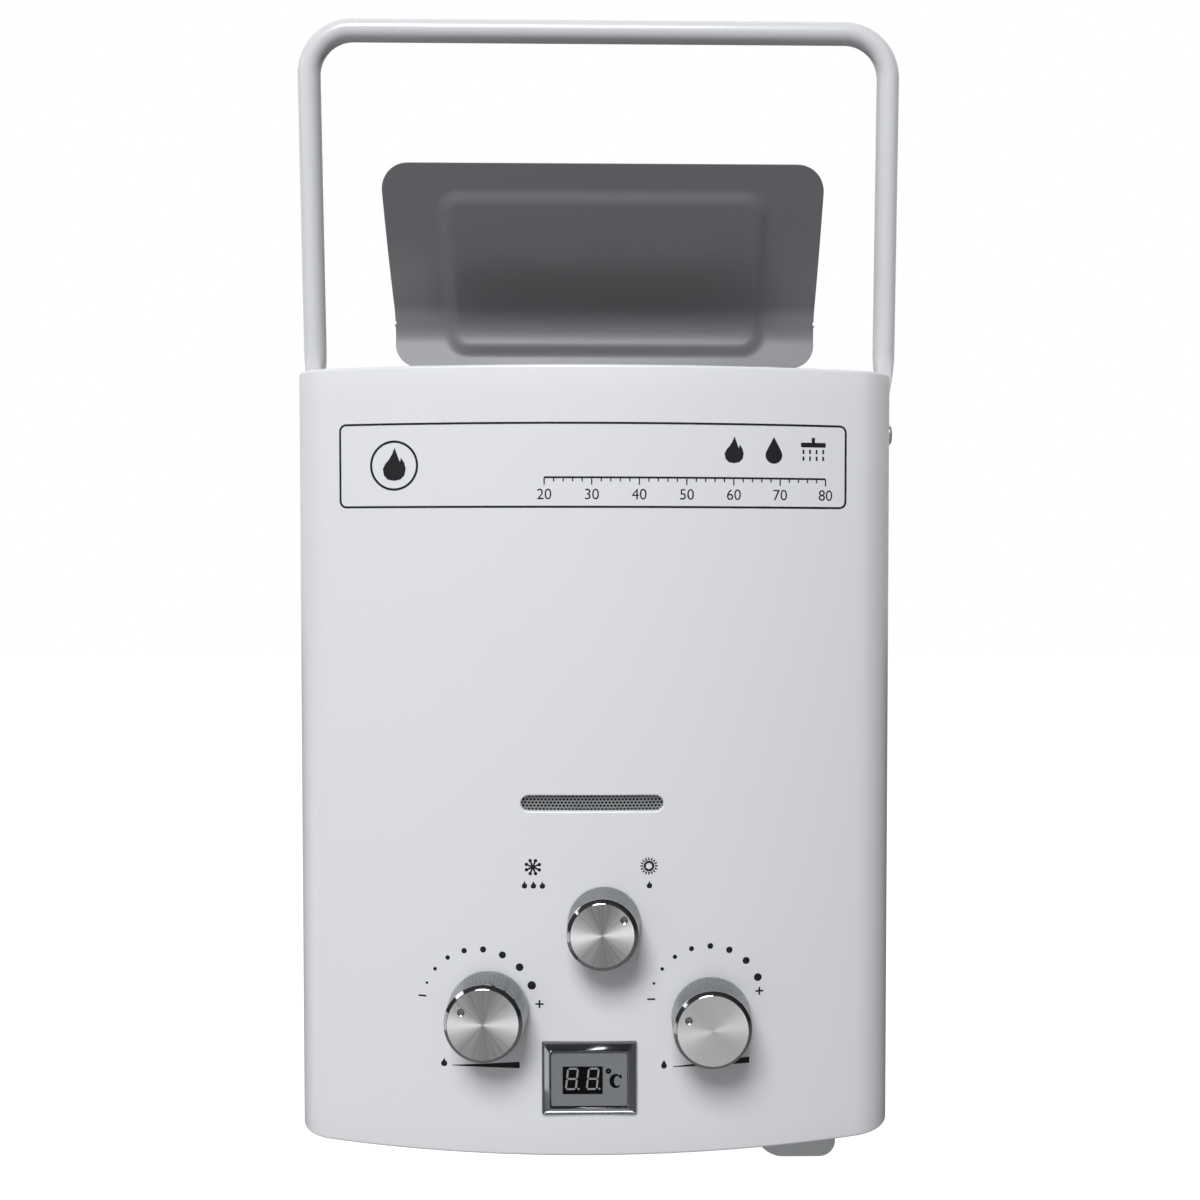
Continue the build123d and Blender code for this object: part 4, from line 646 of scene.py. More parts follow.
SIDE_STEPS, CORNER_STEPS, BOW_STEPS = 10, 22, 150
EDGE_STEPS, FACE_ROWS = 6, 30
VIEW_SLOT_Z = centre_of("viewing_grille")[1]
VIEW_SLOT_LENGTH, VIEW_SLOT_HEIGHT = 66.4, 7.3
SLOT_ROLL = 1.3
SLOT_DEPTH = SHEET + 2.0
STEM_HOLE_RADIUS = 8.0
DISPLAY_X, DISPLAY_Z = centre_of("display_bezel")
DISPLAY_HOLE = (38.4, 28.2, 1.0)
PIVOT_LOW, PIVOT_HIGH = box_mm("handle_bolts")
PIVOT_Y = (PIVOT_LOW[1] + PIVOT_HIGH[1]) / 2
PIVOT_Z = (PIVOT_LOW[2] + PIVOT_HIGH[2]) / 2
COVER_BOLT_HOLE, HANDLE_BOLT_HOLE = 3.1, 3.05


def cover_outline():
    """Plan of the cover from rear left round to rear right: point and outward normal."""
    corner_x = HALF_WIDTH - CORNER_RADIUS
    corner_y = BOW_CENTRE_Y - sqrt((BOW_RADIUS - CORNER_RADIUS) ** 2 - corner_x**2)
    lean = asin(corner_x / (BOW_RADIUS - CORNER_RADIUS))
    left, front = [], []
    for step in range(SIDE_STEPS):
        y = REAR_Y + (corner_y - REAR_Y) * step / SIDE_STEPS
        left.append(((-HALF_WIDTH, y), (-1.0, 0.0)))
    for step in range(CORNER_STEPS):
        angle = pi + (pi / 2 - lean) * step / CORNER_STEPS
        left.append((polar(-corner_x, corner_y, CORNER_RADIUS, angle), (cos(angle), sin(angle))))
    for step in range(BOW_STEPS + 1):
        angle = lean * (2 * step / BOW_STEPS - 1)
        nx, ny = sin(angle), -cos(angle)
        front.append(((BOW_RADIUS * nx, BOW_CENTRE_Y + BOW_RADIUS * ny), (nx, ny)))
    right = [((-x, y), (-nx, ny)) for (x, y), (nx, ny) in reversed(left)]
    return left + front + right


def cover_section():
    """Upright section of the sheet, from its foot: how far inside the outline, and how high."""
    low, high = BOTTOM_Z + EDGE_RADIUS, TOP_Z - EDGE_RADIUS
    turns = [pi / 2 * step / EDGE_STEPS for step in range(EDGE_STEPS + 1)]
    section = [(LIP, BOTTOM_Z), (LIP / 2, BOTTOM_Z)]
    section += [(EDGE_RADIUS * (1 - sin(angle)), low - EDGE_RADIUS * cos(angle)) for angle in turns]
    section += [(0.0, low + (high - low) * step / FACE_ROWS) for step in range(1, FACE_ROWS)]
    section += [(EDGE_RADIUS * (1 - cos(angle)), high + EDGE_RADIUS * sin(angle)) for angle in turns]
    return section + [(LIP / 2, TOP_Z), (LIP, TOP_Z)]


def slot_collar():
    """Edge of the viewing slot, rolled over at the front and turned inwards."""
    section = (
        (SLOT_ROLL, 0.02), (SLOT_ROLL * 0.72, 0.06), (SLOT_ROLL * 0.16, 0.42), (0, 0.8), (0, SLOT_DEPTH),
        (2 * SHEET, SLOT_DEPTH), (2 * SHEET, SHEET), (SLOT_ROLL, SHEET),
    )
    rings = []
    for growth, depth in section:
        outline = stadium(0, VIEW_SLOT_Z, VIEW_SLOT_LENGTH + growth, VIEW_SLOT_HEIGHT + growth)
        rings.append([(x, bow_y(x) + depth, z) for x, z in outline])
    return hollow("slot_collar", rings, PAINT, 40)


def bowed_cover():
    """The whole bowed sheet with its folded lips and every opening."""
    stations, section = cover_outline(), cover_section()
    points = []
    for inset, z in section:
        for (x, y), (nx, ny) in stations:
            points.append((x - nx * inset, min(y - ny * inset, REAR_Y), z))
    faces = grid_faces(len(section), len(stations), around=False)
    sheet = thicken(piece_from("bowed_cover", points, faces, PAINT), SHEET)
    openings = [stadium(0, VIEW_SLOT_Z, VIEW_SLOT_LENGTH + SLOT_ROLL, VIEW_SLOT_HEIGHT + SLOT_ROLL)]
    for name in ("gas_knob", "water_knob", "season_knob"):
        openings.append(circle(*centre_of(name), STEM_HOLE_RADIUS, 48))
    openings.append(rounded_rectangle(DISPLAY_X, DISPLAY_Z, *DISPLAY_HOLE))
    cutters = [prism("cut", outline, CUT_NEAR, CUT_FAR) for outline in openings]
    for side in (-1, 1):
        outside = (side * (HALF_WIDTH + 3), PIVOT_Y, PIVOT_Z)
        cutters.append(bar("cut", outside, (-side, 0, 0), COVER_BOLT_HOLE, 8))
    refinish(drill(sheet, cutters), PAINT, 32)
    return place(fuse("front_cover_sheet", [sheet, slot_collar()]), "casing", "white_enamel", "front_cover")


# ---------------------------------------------------------------- screen print on the cover

INK_LIFT, INK_THICKNESS = 0.03, 0.03
INK_STRIP = 4.0
FIGURE_SCALE = 1.36
LABEL_LEFT, LABEL_RIGHT = -120.1, 120.4
LABEL_TOP, LABEL_BOTTOM = 3.4, -36.3
LABEL_CORNER = 3.0
LABEL_LINE = 1.0
BADGE_X, BADGE_Z = -93.0, -16.4
BADGE_RADIUS, BADGE_LINE = 11.2, 1.1
JET_PITCH, JET_LENGTH, JET_WIDTH = 3.2, 2.0, 0.9
SIGN_Z, SIGN_HEIGHT = -9.0, 12.5
SCALE_LEFT, SCALE_RIGHT, SCALE_Z = -22.0, 110.0, -22.2
FIGURES_Z, FIGURE_HEIGHT = -30.2, 5.2
SIGN_LINE, SIGN_REACH = 0.8, 1.9
SMALL_FLAME_Z, WEDGE_Z = -211.9, -297.0


def lay_on_bow(flat):
    """Slices a flat print into narrow strips, bends it onto the bow and gives it thickness."""
    sculpt = bmesh.new()
    sculpt.from_mesh(flat.data)
    left = min(vert.co.x for vert in sculpt.verts)
    right = max(vert.co.x for vert in sculpt.verts)
    strip = INK_STRIP * MM
    for step in range(1, int((right - left) / strip) + 1):
        everything = list(sculpt.verts) + list(sculpt.edges) + list(sculpt.faces)
        at = (left + step * strip, 0, 0)
        bmesh.ops.bisect_plane(sculpt, geom=everything, plane_co=at, plane_no=(1, 0, 0))
    for vert in sculpt.verts:
        vert.co.y = (bow_y(vert.co.x / MM) - INK_LIFT) * MM
    for face in sculpt.faces:
        if face.normal.y > 0:
            face.normal_flip()
    sculpt.to_mesh(flat.data)
    sculpt.free()
    return thicken(flat, INK_THICKNESS, offset=1.0, even=False)


def ink_on_bow(name, outlines):
    """Printed shapes laid on the bowed front; each outline is a list of X and Z points."""
    points, faces = [], []
    for outline in outlines:
        faces.append([len(points) + index for index in range(len(outline))])
        points += [(x, 0, z) for x, z in outline]
    return lay_on_bow(piece_from(name, points, faces, INK))


def numeral(text, x, z, height):
    """Plain figures on the bowed front, centred on a point."""
    letters = bpy.data.curves.new("figures", "FONT")
    letters.body = text
    letters.align_x = "CENTER"
    letters.align_y = "CENTER"
    letters.size = height * FIGURE_SCALE * MM
    writer = object_of("figures", letters)
    bpy.context.view_layer.update()
    mesh = bpy.data.meshes.new_from_object(writer)
    bpy.data.objects.remove(writer)
    mesh.materials.clear()
    mesh.materials.append(INK)
    return lay_on_bow(shift(turn(object_of("figures", mesh), pi / 2), x, 0, z))


def band(outline, width):
    """Closed line of a given width along an outline, as quads."""
    sides = []
    for index, (x, z) in enumerate(outline):
        before, after = outline[index - 1], outline[(index + 1) % len(outline)]
        run = Vector((after[0] - before[0], after[1] - before[1])).normalized() * width / 2
        sides.append(((x + run.y, z - run.x), (x - run.y, z + run.x)))
    quads = []
    for (outer, inner), (next_outer, next_inner) in zip(sides, sides[1:] + sides[:1]):
        quads.append([outer, next_outer, next_inner, inner])
    return quads


def stroke(start, end, width, end_width=None):
    """A straight stroke between two points, tapering if a second width is given."""
    run = Vector((end[0] - start[0], end[1] - start[1])).normalized()
    first, last = run * width / 2, run * (end_width or width) / 2
    return [
        (start[0] + first.y, start[1] - first.x),
        (end[0] + last.y, end[1] - last.x),
        (end[0] - last.y, end[1] + last.x),
        (start[0] - first.y, start[1] + first.x),
    ]


def drop(x, z, height):
    """A water drop standing on its round end."""
    radius = height * 0.32
    centre = z - height / 2 + radius
    start = asin(radius / (height - radius))
    turns = [(pi + 2 * start) * step / 24 - start for step in range(25)]
    return [polar(x, centre, radius, -angle) for angle in turns] + [(x, z + height / 2)]


def flame(x, z, height):
    """A simple three-lobed flame."""
    side = [
        (0.0, -0.5), (0.2, -0.46), (0.33, -0.33), (0.37, -0.14), (0.32, 0.05), (0.22, 0.2),
        (0.19, 0.06), (0.12, 0.24), (0.02, 0.5), (-0.06, 0.3), (-0.16, 0.14), (-0.27, 0.02),
        (-0.35, -0.14), (-0.32, -0.33), (-0.2, -0.46),
    ]
    return [(x + u * height, z + v * height) for u, v in side]


def shower(x, z):
    """A shower head over two rows of short jets."""
    shapes = [stroke((x - 6, z + 2.8), (x + 6, z + 2.8), 2.2), stroke((x, z + 6.2), (x, z + 3.0), 1.6)]
    for column in range(4):
        for row in range(2):
            jet_x, top = x + JET_PITCH * (column - 1.5), z + 0.6 - JET_PITCH * row
            shapes.append(stroke((jet_x, top), (jet_x, top - JET_LENGTH), JET_WIDTH))
    return shapes


def ruled_scale(left, right, z):
    """A line with thirty spaces between its ticks, every fifth tick longer."""
    shapes = [stroke((left, z), (right, z), 0.9)]
    for index in range(31):
        x = left + (right - left) * index / 30
        reach = 3.4 if index % 5 == 0 else 1.9
        shapes.append(stroke((x, z), (x, z - reach), 0.6))
    return shapes


def snow_star(x, z, radius):
    """Eight arms with round ends round a small hub."""
    shapes = [circle(x, z, radius * 0.3, 16)]
    for index in range(8):
        tip = polar(x, z, radius * 0.8, index * pi / 4 + pi / 8)
        shapes.append(stroke((x, z), tip, radius * 0.2))
        shapes.append(circle(*tip, radius * 0.2, 12))
    return shapes


def sun_ring(x, z, radius):
    """An open disc with short straight rays."""
    shapes = band(circle(x, z, radius * 0.48, 32), radius * 0.26)
    for near, far in zip(circle(x, z, radius * 0.68, 16), circle(x, z, radius, 16)):
        shapes.append(stroke(near, far, radius * 0.2, radius * 0.12))
    return shapes


def dot_arc(x, z, radius, first, last, small, large, count=8):
    """Dots that grow clockwise round a knob."""
    dots = []
    for index in range(count):
        share = index / (count - 1)
        angle = radians(first + (last - first) * share * (0.85 + 0.15 * share))
        size = small + (large - small) * share**0.9
        dots.append(circle(*polar(x, z, radius, angle), size / 2, 24))
    return dots


def wedge(left, right, z, height):
    """A long wedge that thickens to the right."""
    foot, top = z - height * 0.5, z + height * 0.5
    return [(left, foot), (right, foot), (right, top), (left, z - height * 0.38)]


def label_marks():
    """Thin round-cornered frame with plain pictograms and a temperature scale."""
    x, z = (LABEL_LEFT + LABEL_RIGHT) / 2, (LABEL_TOP + LABEL_BOTTOM) / 2
    width, height = LABEL_RIGHT - LABEL_LEFT - LABEL_LINE, LABEL_TOP - LABEL_BOTTOM - LABEL_LINE
    shapes = band(rounded_rectangle(x, z, width, height, LABEL_CORNER, 8), LABEL_LINE)
    shapes += band(circle(BADGE_X, BADGE_Z, BADGE_RADIUS, 48), BADGE_LINE)
    shapes.append(flame(BADGE_X, BADGE_Z + 0.6, 15.5))
    shapes += [flame(66.0, SIGN_Z, SIGN_HEIGHT), drop(85.0, SIGN_Z, SIGN_HEIGHT)]
    shapes += shower(104.0, SIGN_Z) + ruled_scale(SCALE_LEFT, SCALE_RIGHT, SCALE_Z)
    pieces = [ink_on_bow("label_lines", shapes)]
    for index in range(7):
        at = SCALE_LEFT + (SCALE_RIGHT - SCALE_LEFT) * index / 6
        pieces.append(numeral(str(20 + 10 * index), at, FIGURES_Z, FIGURE_HEIGHT))
    return pieces


def control_marks():
    """Dots, season signs, wedges, and minus and plus signs round the three knobs."""
    shapes = dot_arc(-53.1, -269.8, 27.0, 158.2, 23.0, 1.3, 4.0)
    shapes += dot_arc(53.6, -268.35, 26.6, 158.5, 23.3, 1.3, 3.7)
    shapes += snow_star(-27.6, -203.6, 4.1) + sun_ring(26.5, -203.2, 4.1)
    for x in (-31.6, -27.4, -23.2, 26.7):
        shapes.append(flame(x, SMALL_FLAME_Z, 3.6))
    for left, right, sign_x, sign in ((-66.0, -34.0, -70.0, flame), (38.0, 74.0, 33.6, drop)):
        shapes += [sign(sign_x, WEDGE_Z, 4.2), wedge(left, right, WEDGE_Z, 3.0)]
    minus, plus = ((-80.4, -266.0), (27.6, -266.0)), ((-24.6, -268.0), (78.8, -264.4))
    for x, z in minus + plus:
        shapes.append(stroke((x - SIGN_REACH, z), (x + SIGN_REACH, z), SIGN_LINE))
    for x, z in plus:
        shapes.append(stroke((x, z - SIGN_REACH), (x, z + SIGN_REACH), SIGN_LINE))
    return [ink_on_bow("control_lines", shapes)]


def screen_print():
    """All printing on the cover, as one piece."""
    return place(fuse("screen_print", label_marks() + control_marks()), "casing", "white_enamel")


# ---------------------------------------------------------------- viewing grille

CELL_PITCH, CELL_ROW_PITCH = 1.72, 1.49
CELL_HOLE = 0.58
CELL_ROWS, CELL_COLUMNS = 7, 42
CELL_STEPS = 12
PLATE_THICKNESS = 0.8


def holed_cell():
    """One six-sided tile of sheet with a round hole, standing in X and Z."""
    rim, hole = [], []
    for index in range(CELL_STEPS):
        angle = 2 * pi * index / CELL_STEPS + pi / 6
        reach = CELL_PITCH / 2 / cos((angle + pi / 6) % (pi / 3) - pi / 6)
        rim.append(polar(0, 0, reach, angle))
        hole.append(polar(0, 0, CELL_HOLE, angle))
    rings = ((rim, 0), (hole, 0), (hole, PLATE_THICKNESS), (rim, PLATE_THICKNESS))
    points = [(x, depth, z) for outline, depth in rings for x, z in outline]
    return piece_from("holed_cell", points, grid_faces(len(rings), CELL_STEPS), GRILLE_METAL)


def perforated_plate():
    """Perforated plate behind the viewing slot, every second row half a pitch on, bent to the bow."""
    seats = []
    for row in range(CELL_ROWS):
        z = VIEW_SLOT_Z + CELL_ROW_PITCH * (row - (CELL_ROWS - 1) / 2)
        for column in range(CELL_COLUMNS):
            x = CELL_PITCH * (column + row % 2 / 2 - (CELL_COLUMNS - 0.5) / 2)
            seats.append(((x, 0, z), UPRIGHT))
    plate = copies("perforated_plate", holed_cell(), seats, GRILLE_METAL)
    for vert in plate.data.vertices:
        vert.co.y += bow_y(vert.co.x / MM, SLOT_DEPTH) * MM
    return place(tidy_mesh(plate), "casing", "grille_steel", "viewing_grille")


# ---------------------------------------------------------------- knobs

KNOB_LOW, KNOB_HIGH = box_mm("gas_knob")
KNOB_BACK_Y = KNOB_HIGH[1]
KNOB_LENGTH = KNOB_BACK_Y - KNOB_LOW[1]
KNOB_SEGMENTS = 144
KNOB_BEVEL = 1.4
KNOB_WALL, KNOB_FLOOR = 3.0, 3.5
FACE_DIP = 0.12
DIMPLE_RADIUS, DIMPLE_LIFT = 3.0, 2.4
RIB_COUNT = 116
RIB_HEIGHT, RIB_HALF, RIB_ROOT = 0.5, 0.46, 0.3
RIB_START = 1.0

# Dull level of each spun face and the bright level of its painted highlight wedges, how far its shine is
# drawn out, and its roughness
FACE_FINISH_AND_HIGHLIGHT = {
    "gas_knob": (0.50, 0.86, 0.75, 0.40),
    "water_knob": (1.0, 0.94, 0.60, 0.40),
    "season_knob": (0.50, 0.86, 0.75, 0.40),
}


def rib(length, lean):
    """One straight three-sided rib lying along Z."""
    rings = []
    for z in (0, length):
        root = -lean * z - RIB_ROOT
        rings.append([(root, -RIB_HALF, z), (RIB_HEIGHT - lean * z, 0, z), (root, RIB_HALF, z)])
    return solid("rib", rings, SIDE_METAL)


def dimple_ball(x, y, z):
    """The ball that cuts a pointer dimple."""
    ball = bmesh.new()
    bmesh.ops.create_uvsphere(ball, u_segments=32, v_segments=20, radius=DIMPLE_RADIUS * MM)
    mesh = bpy.data.meshes.new("ball")
    ball.to_mesh(mesh)
    ball.free()
    mesh.materials.append(BEVEL_METAL)
    return shift(object_of("ball", mesh), x, y, z)


def knob(name, base, ring, face, dimple, knurled, body):
    """Turned knob with a bright bevel, a spun face, a pointer dimple and its side finish.

    Base, ring and face are the radii of its foot, its bevel and its face."""
    x, z = centre_of(name)
    top, rim = KNOB_LENGTH, KNOB_LENGTH - KNOB_BEVEL
    tooth = RIB_HEIGHT if knurled else 0
    side, bore = base - tooth, base - KNOB_WALL
    slope = (KNOB_BEVEL - 0.22) / (ring - face - 0.22)
    profile = [
        (0, top - KNOB_FLOOR), (bore, top - KNOB_FLOOR), (bore, 0.0), (side - 0.4, 0.0), (side, 0.4),
        (side, 1.4), (ring - tooth, rim - 1.6), (ring, rim - 1.2), (ring, rim - 0.1), (ring - 0.1, rim),
        (ring - 0.35, rim + 0.25 * slope), (face + 0.3, top - FACE_DIP - 0.18 * slope),
        (face + 0.12, top - FACE_DIP), (face - 0.1, top), (face - 0.35, top),
        (face * 0.66, top - 0.02), (face * 0.33, top - 0.03), (0, top - 0.03),
    ]
    # A plain side gets the darker copy of the side metal, a painted shade standing in for the knurl's
    # shading
    side_metal = SIDE_METAL if knurled else PLAIN_SIDE_PAINTED_SHADE
    # The face's bright side wedges are a painted highlight in its base colour
    face_metal = spun_face(name + "_face", x, z, *FACE_FINISH_AND_HIGHLIGHT[name])
    finishes = (side_metal, 6), (BEVEL_METAL, 7), (face_metal, 4)
    shell = lathe(name + "_turned", profile, x, z, KNOB_BACK_Y, KNOB_SEGMENTS, *finishes)
    dimple_x, dimple_z = polar(x, z, dimple[0], radians(dimple[1]))
    ball = dimple_ball(dimple_x, KNOB_BACK_Y - top - DIMPLE_LIFT, dimple_z)
    parts = [smooth(drill(shell, [ball]), 26)]
    if knurled:
        seats = []
        for index in range(RIB_COUNT):
            angle = 2 * pi * index / RIB_COUNT
            seats.append(((*polar(0, 0, side, angle), 0), (0, 0, angle)))
        one_rib = rib(rim - 1.6 - RIB_START, (base - ring) / rim)
        knurl = turn(copies("knurl", one_rib, seats, SIDE_METAL), pi / 2)
        parts.append(tidy_mesh(shift(knurl, x, KNOB_BACK_Y - RIB_START, z), 20, merge=0.0001))
    return place(fuse(name + "_metal", parts), body, "spun_aluminium", name)


# ---------------------------------------------------------------- display

# Section of the bezel: how much less wide and high than its outside, its corner and its depth
BEZEL_SECTION = (
    (0, 0, 0.8, 4.2), (0, 0, 0.8, 2.9), (0.5, 0.5, 0.8, 2.4), (1.2, 1.2, 0.7, 2.4), (1.6, 1.6, 0.6, 2.75),
    (2.0, 2.0, 0.6, 2.7), (6.3, 6.0, 0.7, 0.75), (7.3, 7.0, 1.1, 0.12), (7.46, 7.16, 1.2, 0.08),
    (7.7, 7.4, 1.3, 0.08), (7.86, 7.56, 1.4, 0.12), (8.9, 8.6, 1.6, 0.8), (8.9, 8.6, 1.6, 1.0),
    (7.6, 8.6, 1.0, 1.1), (7.6, 8.6, 1.0, 10.0), (6.4, 6.4, 0.8, 10.0), (6.4, 6.4, 0.8, 4.2),
)
WINDOW_FRONT = box_mm("display_lens")[0][1]
WINDOW_SIZE, WINDOW_THICKNESS = (36.5, 25.1, 0.6), 0.7
PANEL_Y = WINDOW_FRONT + 0.9
PANEL_SIZE = (36.4, 25.0, 0.6)
BOARD_THICKNESS, BOARD_CORNER = 1.6, 1.0
INSERT_X, INSERT_Z = DISPLAY_X - 3.0, DISPLAY_Z - 0.4
INSERT_SIZE, INSERT_THICKNESS = (18.7, 13.0, 0.3), 0.06
FIGURE_THICKNESS, PRINT_THICKNESS = 0.03, 0.05
DIGIT_HEIGHT, DIGIT_WIDTH = 9.6, 4.6
SEGMENT, SEGMENT_GAP = 0.85, 0.22
SLANT = 0.11


def bezel():
    """Bright frame: an outer rim, a slope up to the window and a fine inner rim."""
    low, high = box_mm("display_bezel")
    width, height = high[0] - low[0], high[2] - low[2]
    rings = []
    for narrower, lower, corner, depth in BEZEL_SECTION:
        outline = rounded_rectangle(DISPLAY_X, DISPLAY_Z, width - narrower, height - lower, corner)
        rings.append([(x, low[1] + depth, z) for x, z in outline])
    return place(hollow("bezel_frame", rings, BEZEL, 24), "casing", "bezel_chrome", "display_bezel")


def segment(start, end):
    """Outline of a bar with pointed ends, as places along it and beside it."""
    start, end, half = start + SEGMENT_GAP, end - SEGMENT_GAP, SEGMENT / 2
    return [
        (start, 0), (start + half, half), (end - half, half),
        (end, 0), (end - half, -half), (start + half, -half),
    ]


def seven_segments(x, z):
    """Outlines of one unlit figure with its point, leaning slightly."""
    half_w, half_h = DIGIT_WIDTH / 2, DIGIT_HEIGHT / 2
    shapes = [circle(half_w + 1.3, 0.1 - half_h, 0.5, 16)]
    for level in (half_h, 0, -half_h):
        shapes.append([(along, level + beside) for along, beside in segment(-half_w, half_w)])
    for across in (-half_w, half_w):
        for low, high in ((0, half_h), (-half_h, 0)):
            shapes.append([(across + beside, along) for along, beside in segment(low, high)])
    return [[(x + px + pz * SLANT, z + pz) for px, pz in shape] for shape in shapes]


def degree_letter(x, z, width, height):
    """Outline of a bold C: a thick left side, thin ends and a small serif at the top."""
    outer, inner = [], []
    for step in range(25):
        angle = radians(48 + 264 * step / 24)
        outer.append((x + width / 2 * cos(angle), z + height / 2 * sin(angle)))
        inner.append((x + 0.12 * width + 0.25 * width * cos(angle), z + 0.35 * height * sin(angle)))
    tip, foot = x + width * 0.46, z + height * 0.16
    serif = [(tip, z + height * 0.5), (tip, foot), (tip - 0.06 * width, foot), inner[0], outer[0]]
    shapes = [serif + [(tip - 0.08 * width, z + height * 0.42)]]
    for step in range(24):
        shapes.append([outer[step], outer[step + 1], inner[step + 1], inner[step]])
    return shapes


def plates(name, outlines, lift, thickness, material):
    """Thin flat plates in front of the panel, facing the front."""
    near = PANEL_Y - lift
    return fuse(name, [prism(name, outline, near, near + thickness, material) for outline in outlines])


def display():
    """Grey panel with a dark two-figure insert behind a clear window."""
    low, high = box_mm("display_module")
    board_y = high[1] - BOARD_THICKNESS
    panel = rounded_rectangle(DISPLAY_X, DISPLAY_Z, *PANEL_SIZE)
    board = rounded_rectangle(DISPLAY_X, DISPLAY_Z, high[0] - low[0], high[2] - low[2], BOARD_CORNER)
    insert = rounded_rectangle(INSERT_X, INSERT_Z, *INSERT_SIZE)
    figures = seven_segments(INSERT_X - 5.0, INSERT_Z + 0.7) + seven_segments(INSERT_X + 4.7, INSERT_Z + 0.7)
    degree = band(circle(DISPLAY_X + 9.0, DISPLAY_Z + 3.9, 0.8, 24), 1.05)
    degree += degree_letter(DISPLAY_X + 12.4, DISPLAY_Z - 0.8, 5.9, 6.7)
    parts = [
        prism("panel", panel, PANEL_Y, board_y, PANEL_GREY),
        prism("board", board, board_y, high[1], GREY_PLASTIC),
        prism("insert", insert, PANEL_Y - INSERT_THICKNESS, PANEL_Y, DIGIT_BLACK),
        plates("digits", figures, INSERT_THICKNESS + FIGURE_THICKNESS, FIGURE_THICKNESS, DIGIT_GREY),
        plates("degree", degree, PRINT_THICKNESS, PRINT_THICKNESS, DIGIT_BLACK),
    ]
    place(fuse("display_face", parts), "casing", "display_grey", "display_module")
    pane = rounded_rectangle(DISPLAY_X, DISPLAY_Z, *WINDOW_SIZE)
    glass = prism("window_pane", pane, WINDOW_FRONT, WINDOW_FRONT + WINDOW_THICKNESS, WINDOW)
    place(glass, "casing", "window", "display_lens")


# ---------------------------------------------------------------- deflector

# Corners of the side view in Y and Z, from the foot up
DEFLECTOR_FOOT, DEFLECTOR_BEND = (-34.0, 29.2), (-29.0, 64.5)
DEFLECTOR_MIDDLE, DEFLECTOR_TOP = (-56.5, 98.0), (-80.0, 134.5)
DEFLECTOR_FLANGE = 16.0
FOOT_RADIUS, BEND_RADIUS, FACE_BOW_RADIUS = 2.0, 24.0, 500.0
DEFLECTOR_X = 2.5
DEFLECTOR_WIDTH = 222.0
DEFLECTOR_CORNER, DEFLECTOR_LOWER_CORNER = 14.0, 12.0
DEFLECTOR_WAIST_Z = 41.0
DEFLECTOR_FOOT_HALF = 95.0
DEFLECTOR_ROWS, DEFLECTOR_COLUMNS, CORNER_ROWS = 90, 140, 14
NOTCH_RADIUS, NOTCH_SHIFT = 1.3, 0.8
SMOOTHING = 2.0
TOP_SHIFT = 1.0
TOP_NARROWING = 0.0095
BEAD_INSET, BEAD_TOP_INSET, BEAD_BOTTOM_Z = 26.0, 12.5, 46.0
BEAD_WIDTH, BEAD_RISE, BEAD_CORNER = 7.5, 1.8, 9.0


def side_path(corners, radii):
    """Points along a bent line in Y and Z, with rounded bends."""
    line = [Vector(corners[0])]
    for before, corner, after, radius in zip(corners, corners[1:], corners[2:], radii):
        corner = Vector(corner)
        back, ahead = (Vector(before) - corner).normalized(), (Vector(after) - corner).normalized()
        half = back.angle(ahead) / 2
        middle = corner + (back + ahead).normalized() * radius / sin(half)
        start = corner + back * radius / tan(half) - middle
        end = corner + ahead * radius / tan(half) - middle
        for step in range(13):
            line.append(middle + start.lerp(end, step / 12).normalized() * radius)
    return line + [Vector(corners[-1])]


def along_path(line, s):
    """Point at a distance along a line of points."""
    for first, second in zip(line, line[1:]):
        run = second - first
        if s <= run.length or second is line[-1]:
            return first + run.normalized() * min(s, run.length)
        s -= run.length


def reach_of(line, total, z):
    """Distance along the side path at which the sheet comes to a height."""
    low, high = DEFLECTOR_FLANGE, total
    for _ in range(40):
        middle = (low + high) / 2
        low, high = (middle, high) if along_path(line, middle).y < z else (low, middle)
    return low


def bead_rise(x, s, low, high):
    """Height of the pressed panel and its sloping border at a place on the deflector."""
    half_w = DEFLECTOR_WIDTH / 2 - BEAD_INSET - BEAD_WIDTH / 2
    half_h = (high - low) / 2 - BEAD_WIDTH / 2
    px = abs(x) - (half_w - BEAD_CORNER)
    ps = abs(s - (low + high) / 2) - (half_h - BEAD_CORNER)
    away = hypot(max(px, 0), max(ps, 0)) + min(max(px, ps), 0) - BEAD_CORNER
    share = min(max(0.5 - away / BEAD_WIDTH, 0), 1)
    return BEAD_RISE * (3 - 2 * share) * share**2


def deflector_half(s, total, waist, bend):
    """Half width of the deflector at a distance along its side path."""
    if s < waist:
        return DEFLECTOR_FOOT_HALF
    half = DEFLECTOR_WIDTH / 2
    for gap, radius in ((total - s, DEFLECTOR_CORNER), (s - waist, DEFLECTOR_LOWER_CORNER)):
        if gap < radius:
            half -= radius - sqrt(max(radius**2 - (radius - gap) ** 2, 0))
    if abs(s - bend) < NOTCH_RADIUS:
        half -= sqrt(NOTCH_RADIUS**2 - (s - bend) ** 2) - NOTCH_SHIFT
    return half


def deflector_stops(total, waist, bend):
    """Distances along the side path at which the sheet has a row of points."""
    stops = [total * step / DEFLECTOR_ROWS for step in range(DEFLECTOR_ROWS + 1)] + [waist - 0.01, waist]
    for step in range(CORNER_ROWS + 1):
        share = 1 - sin(pi / 2 * step / CORNER_ROWS)
        stops += [total - DEFLECTOR_CORNER * share, waist + DEFLECTOR_LOWER_CORNER * share]
        stops.append(bend - NOTCH_RADIUS + 2 * NOTCH_RADIUS * step / CORNER_ROWS)
    return sorted(set(stops))


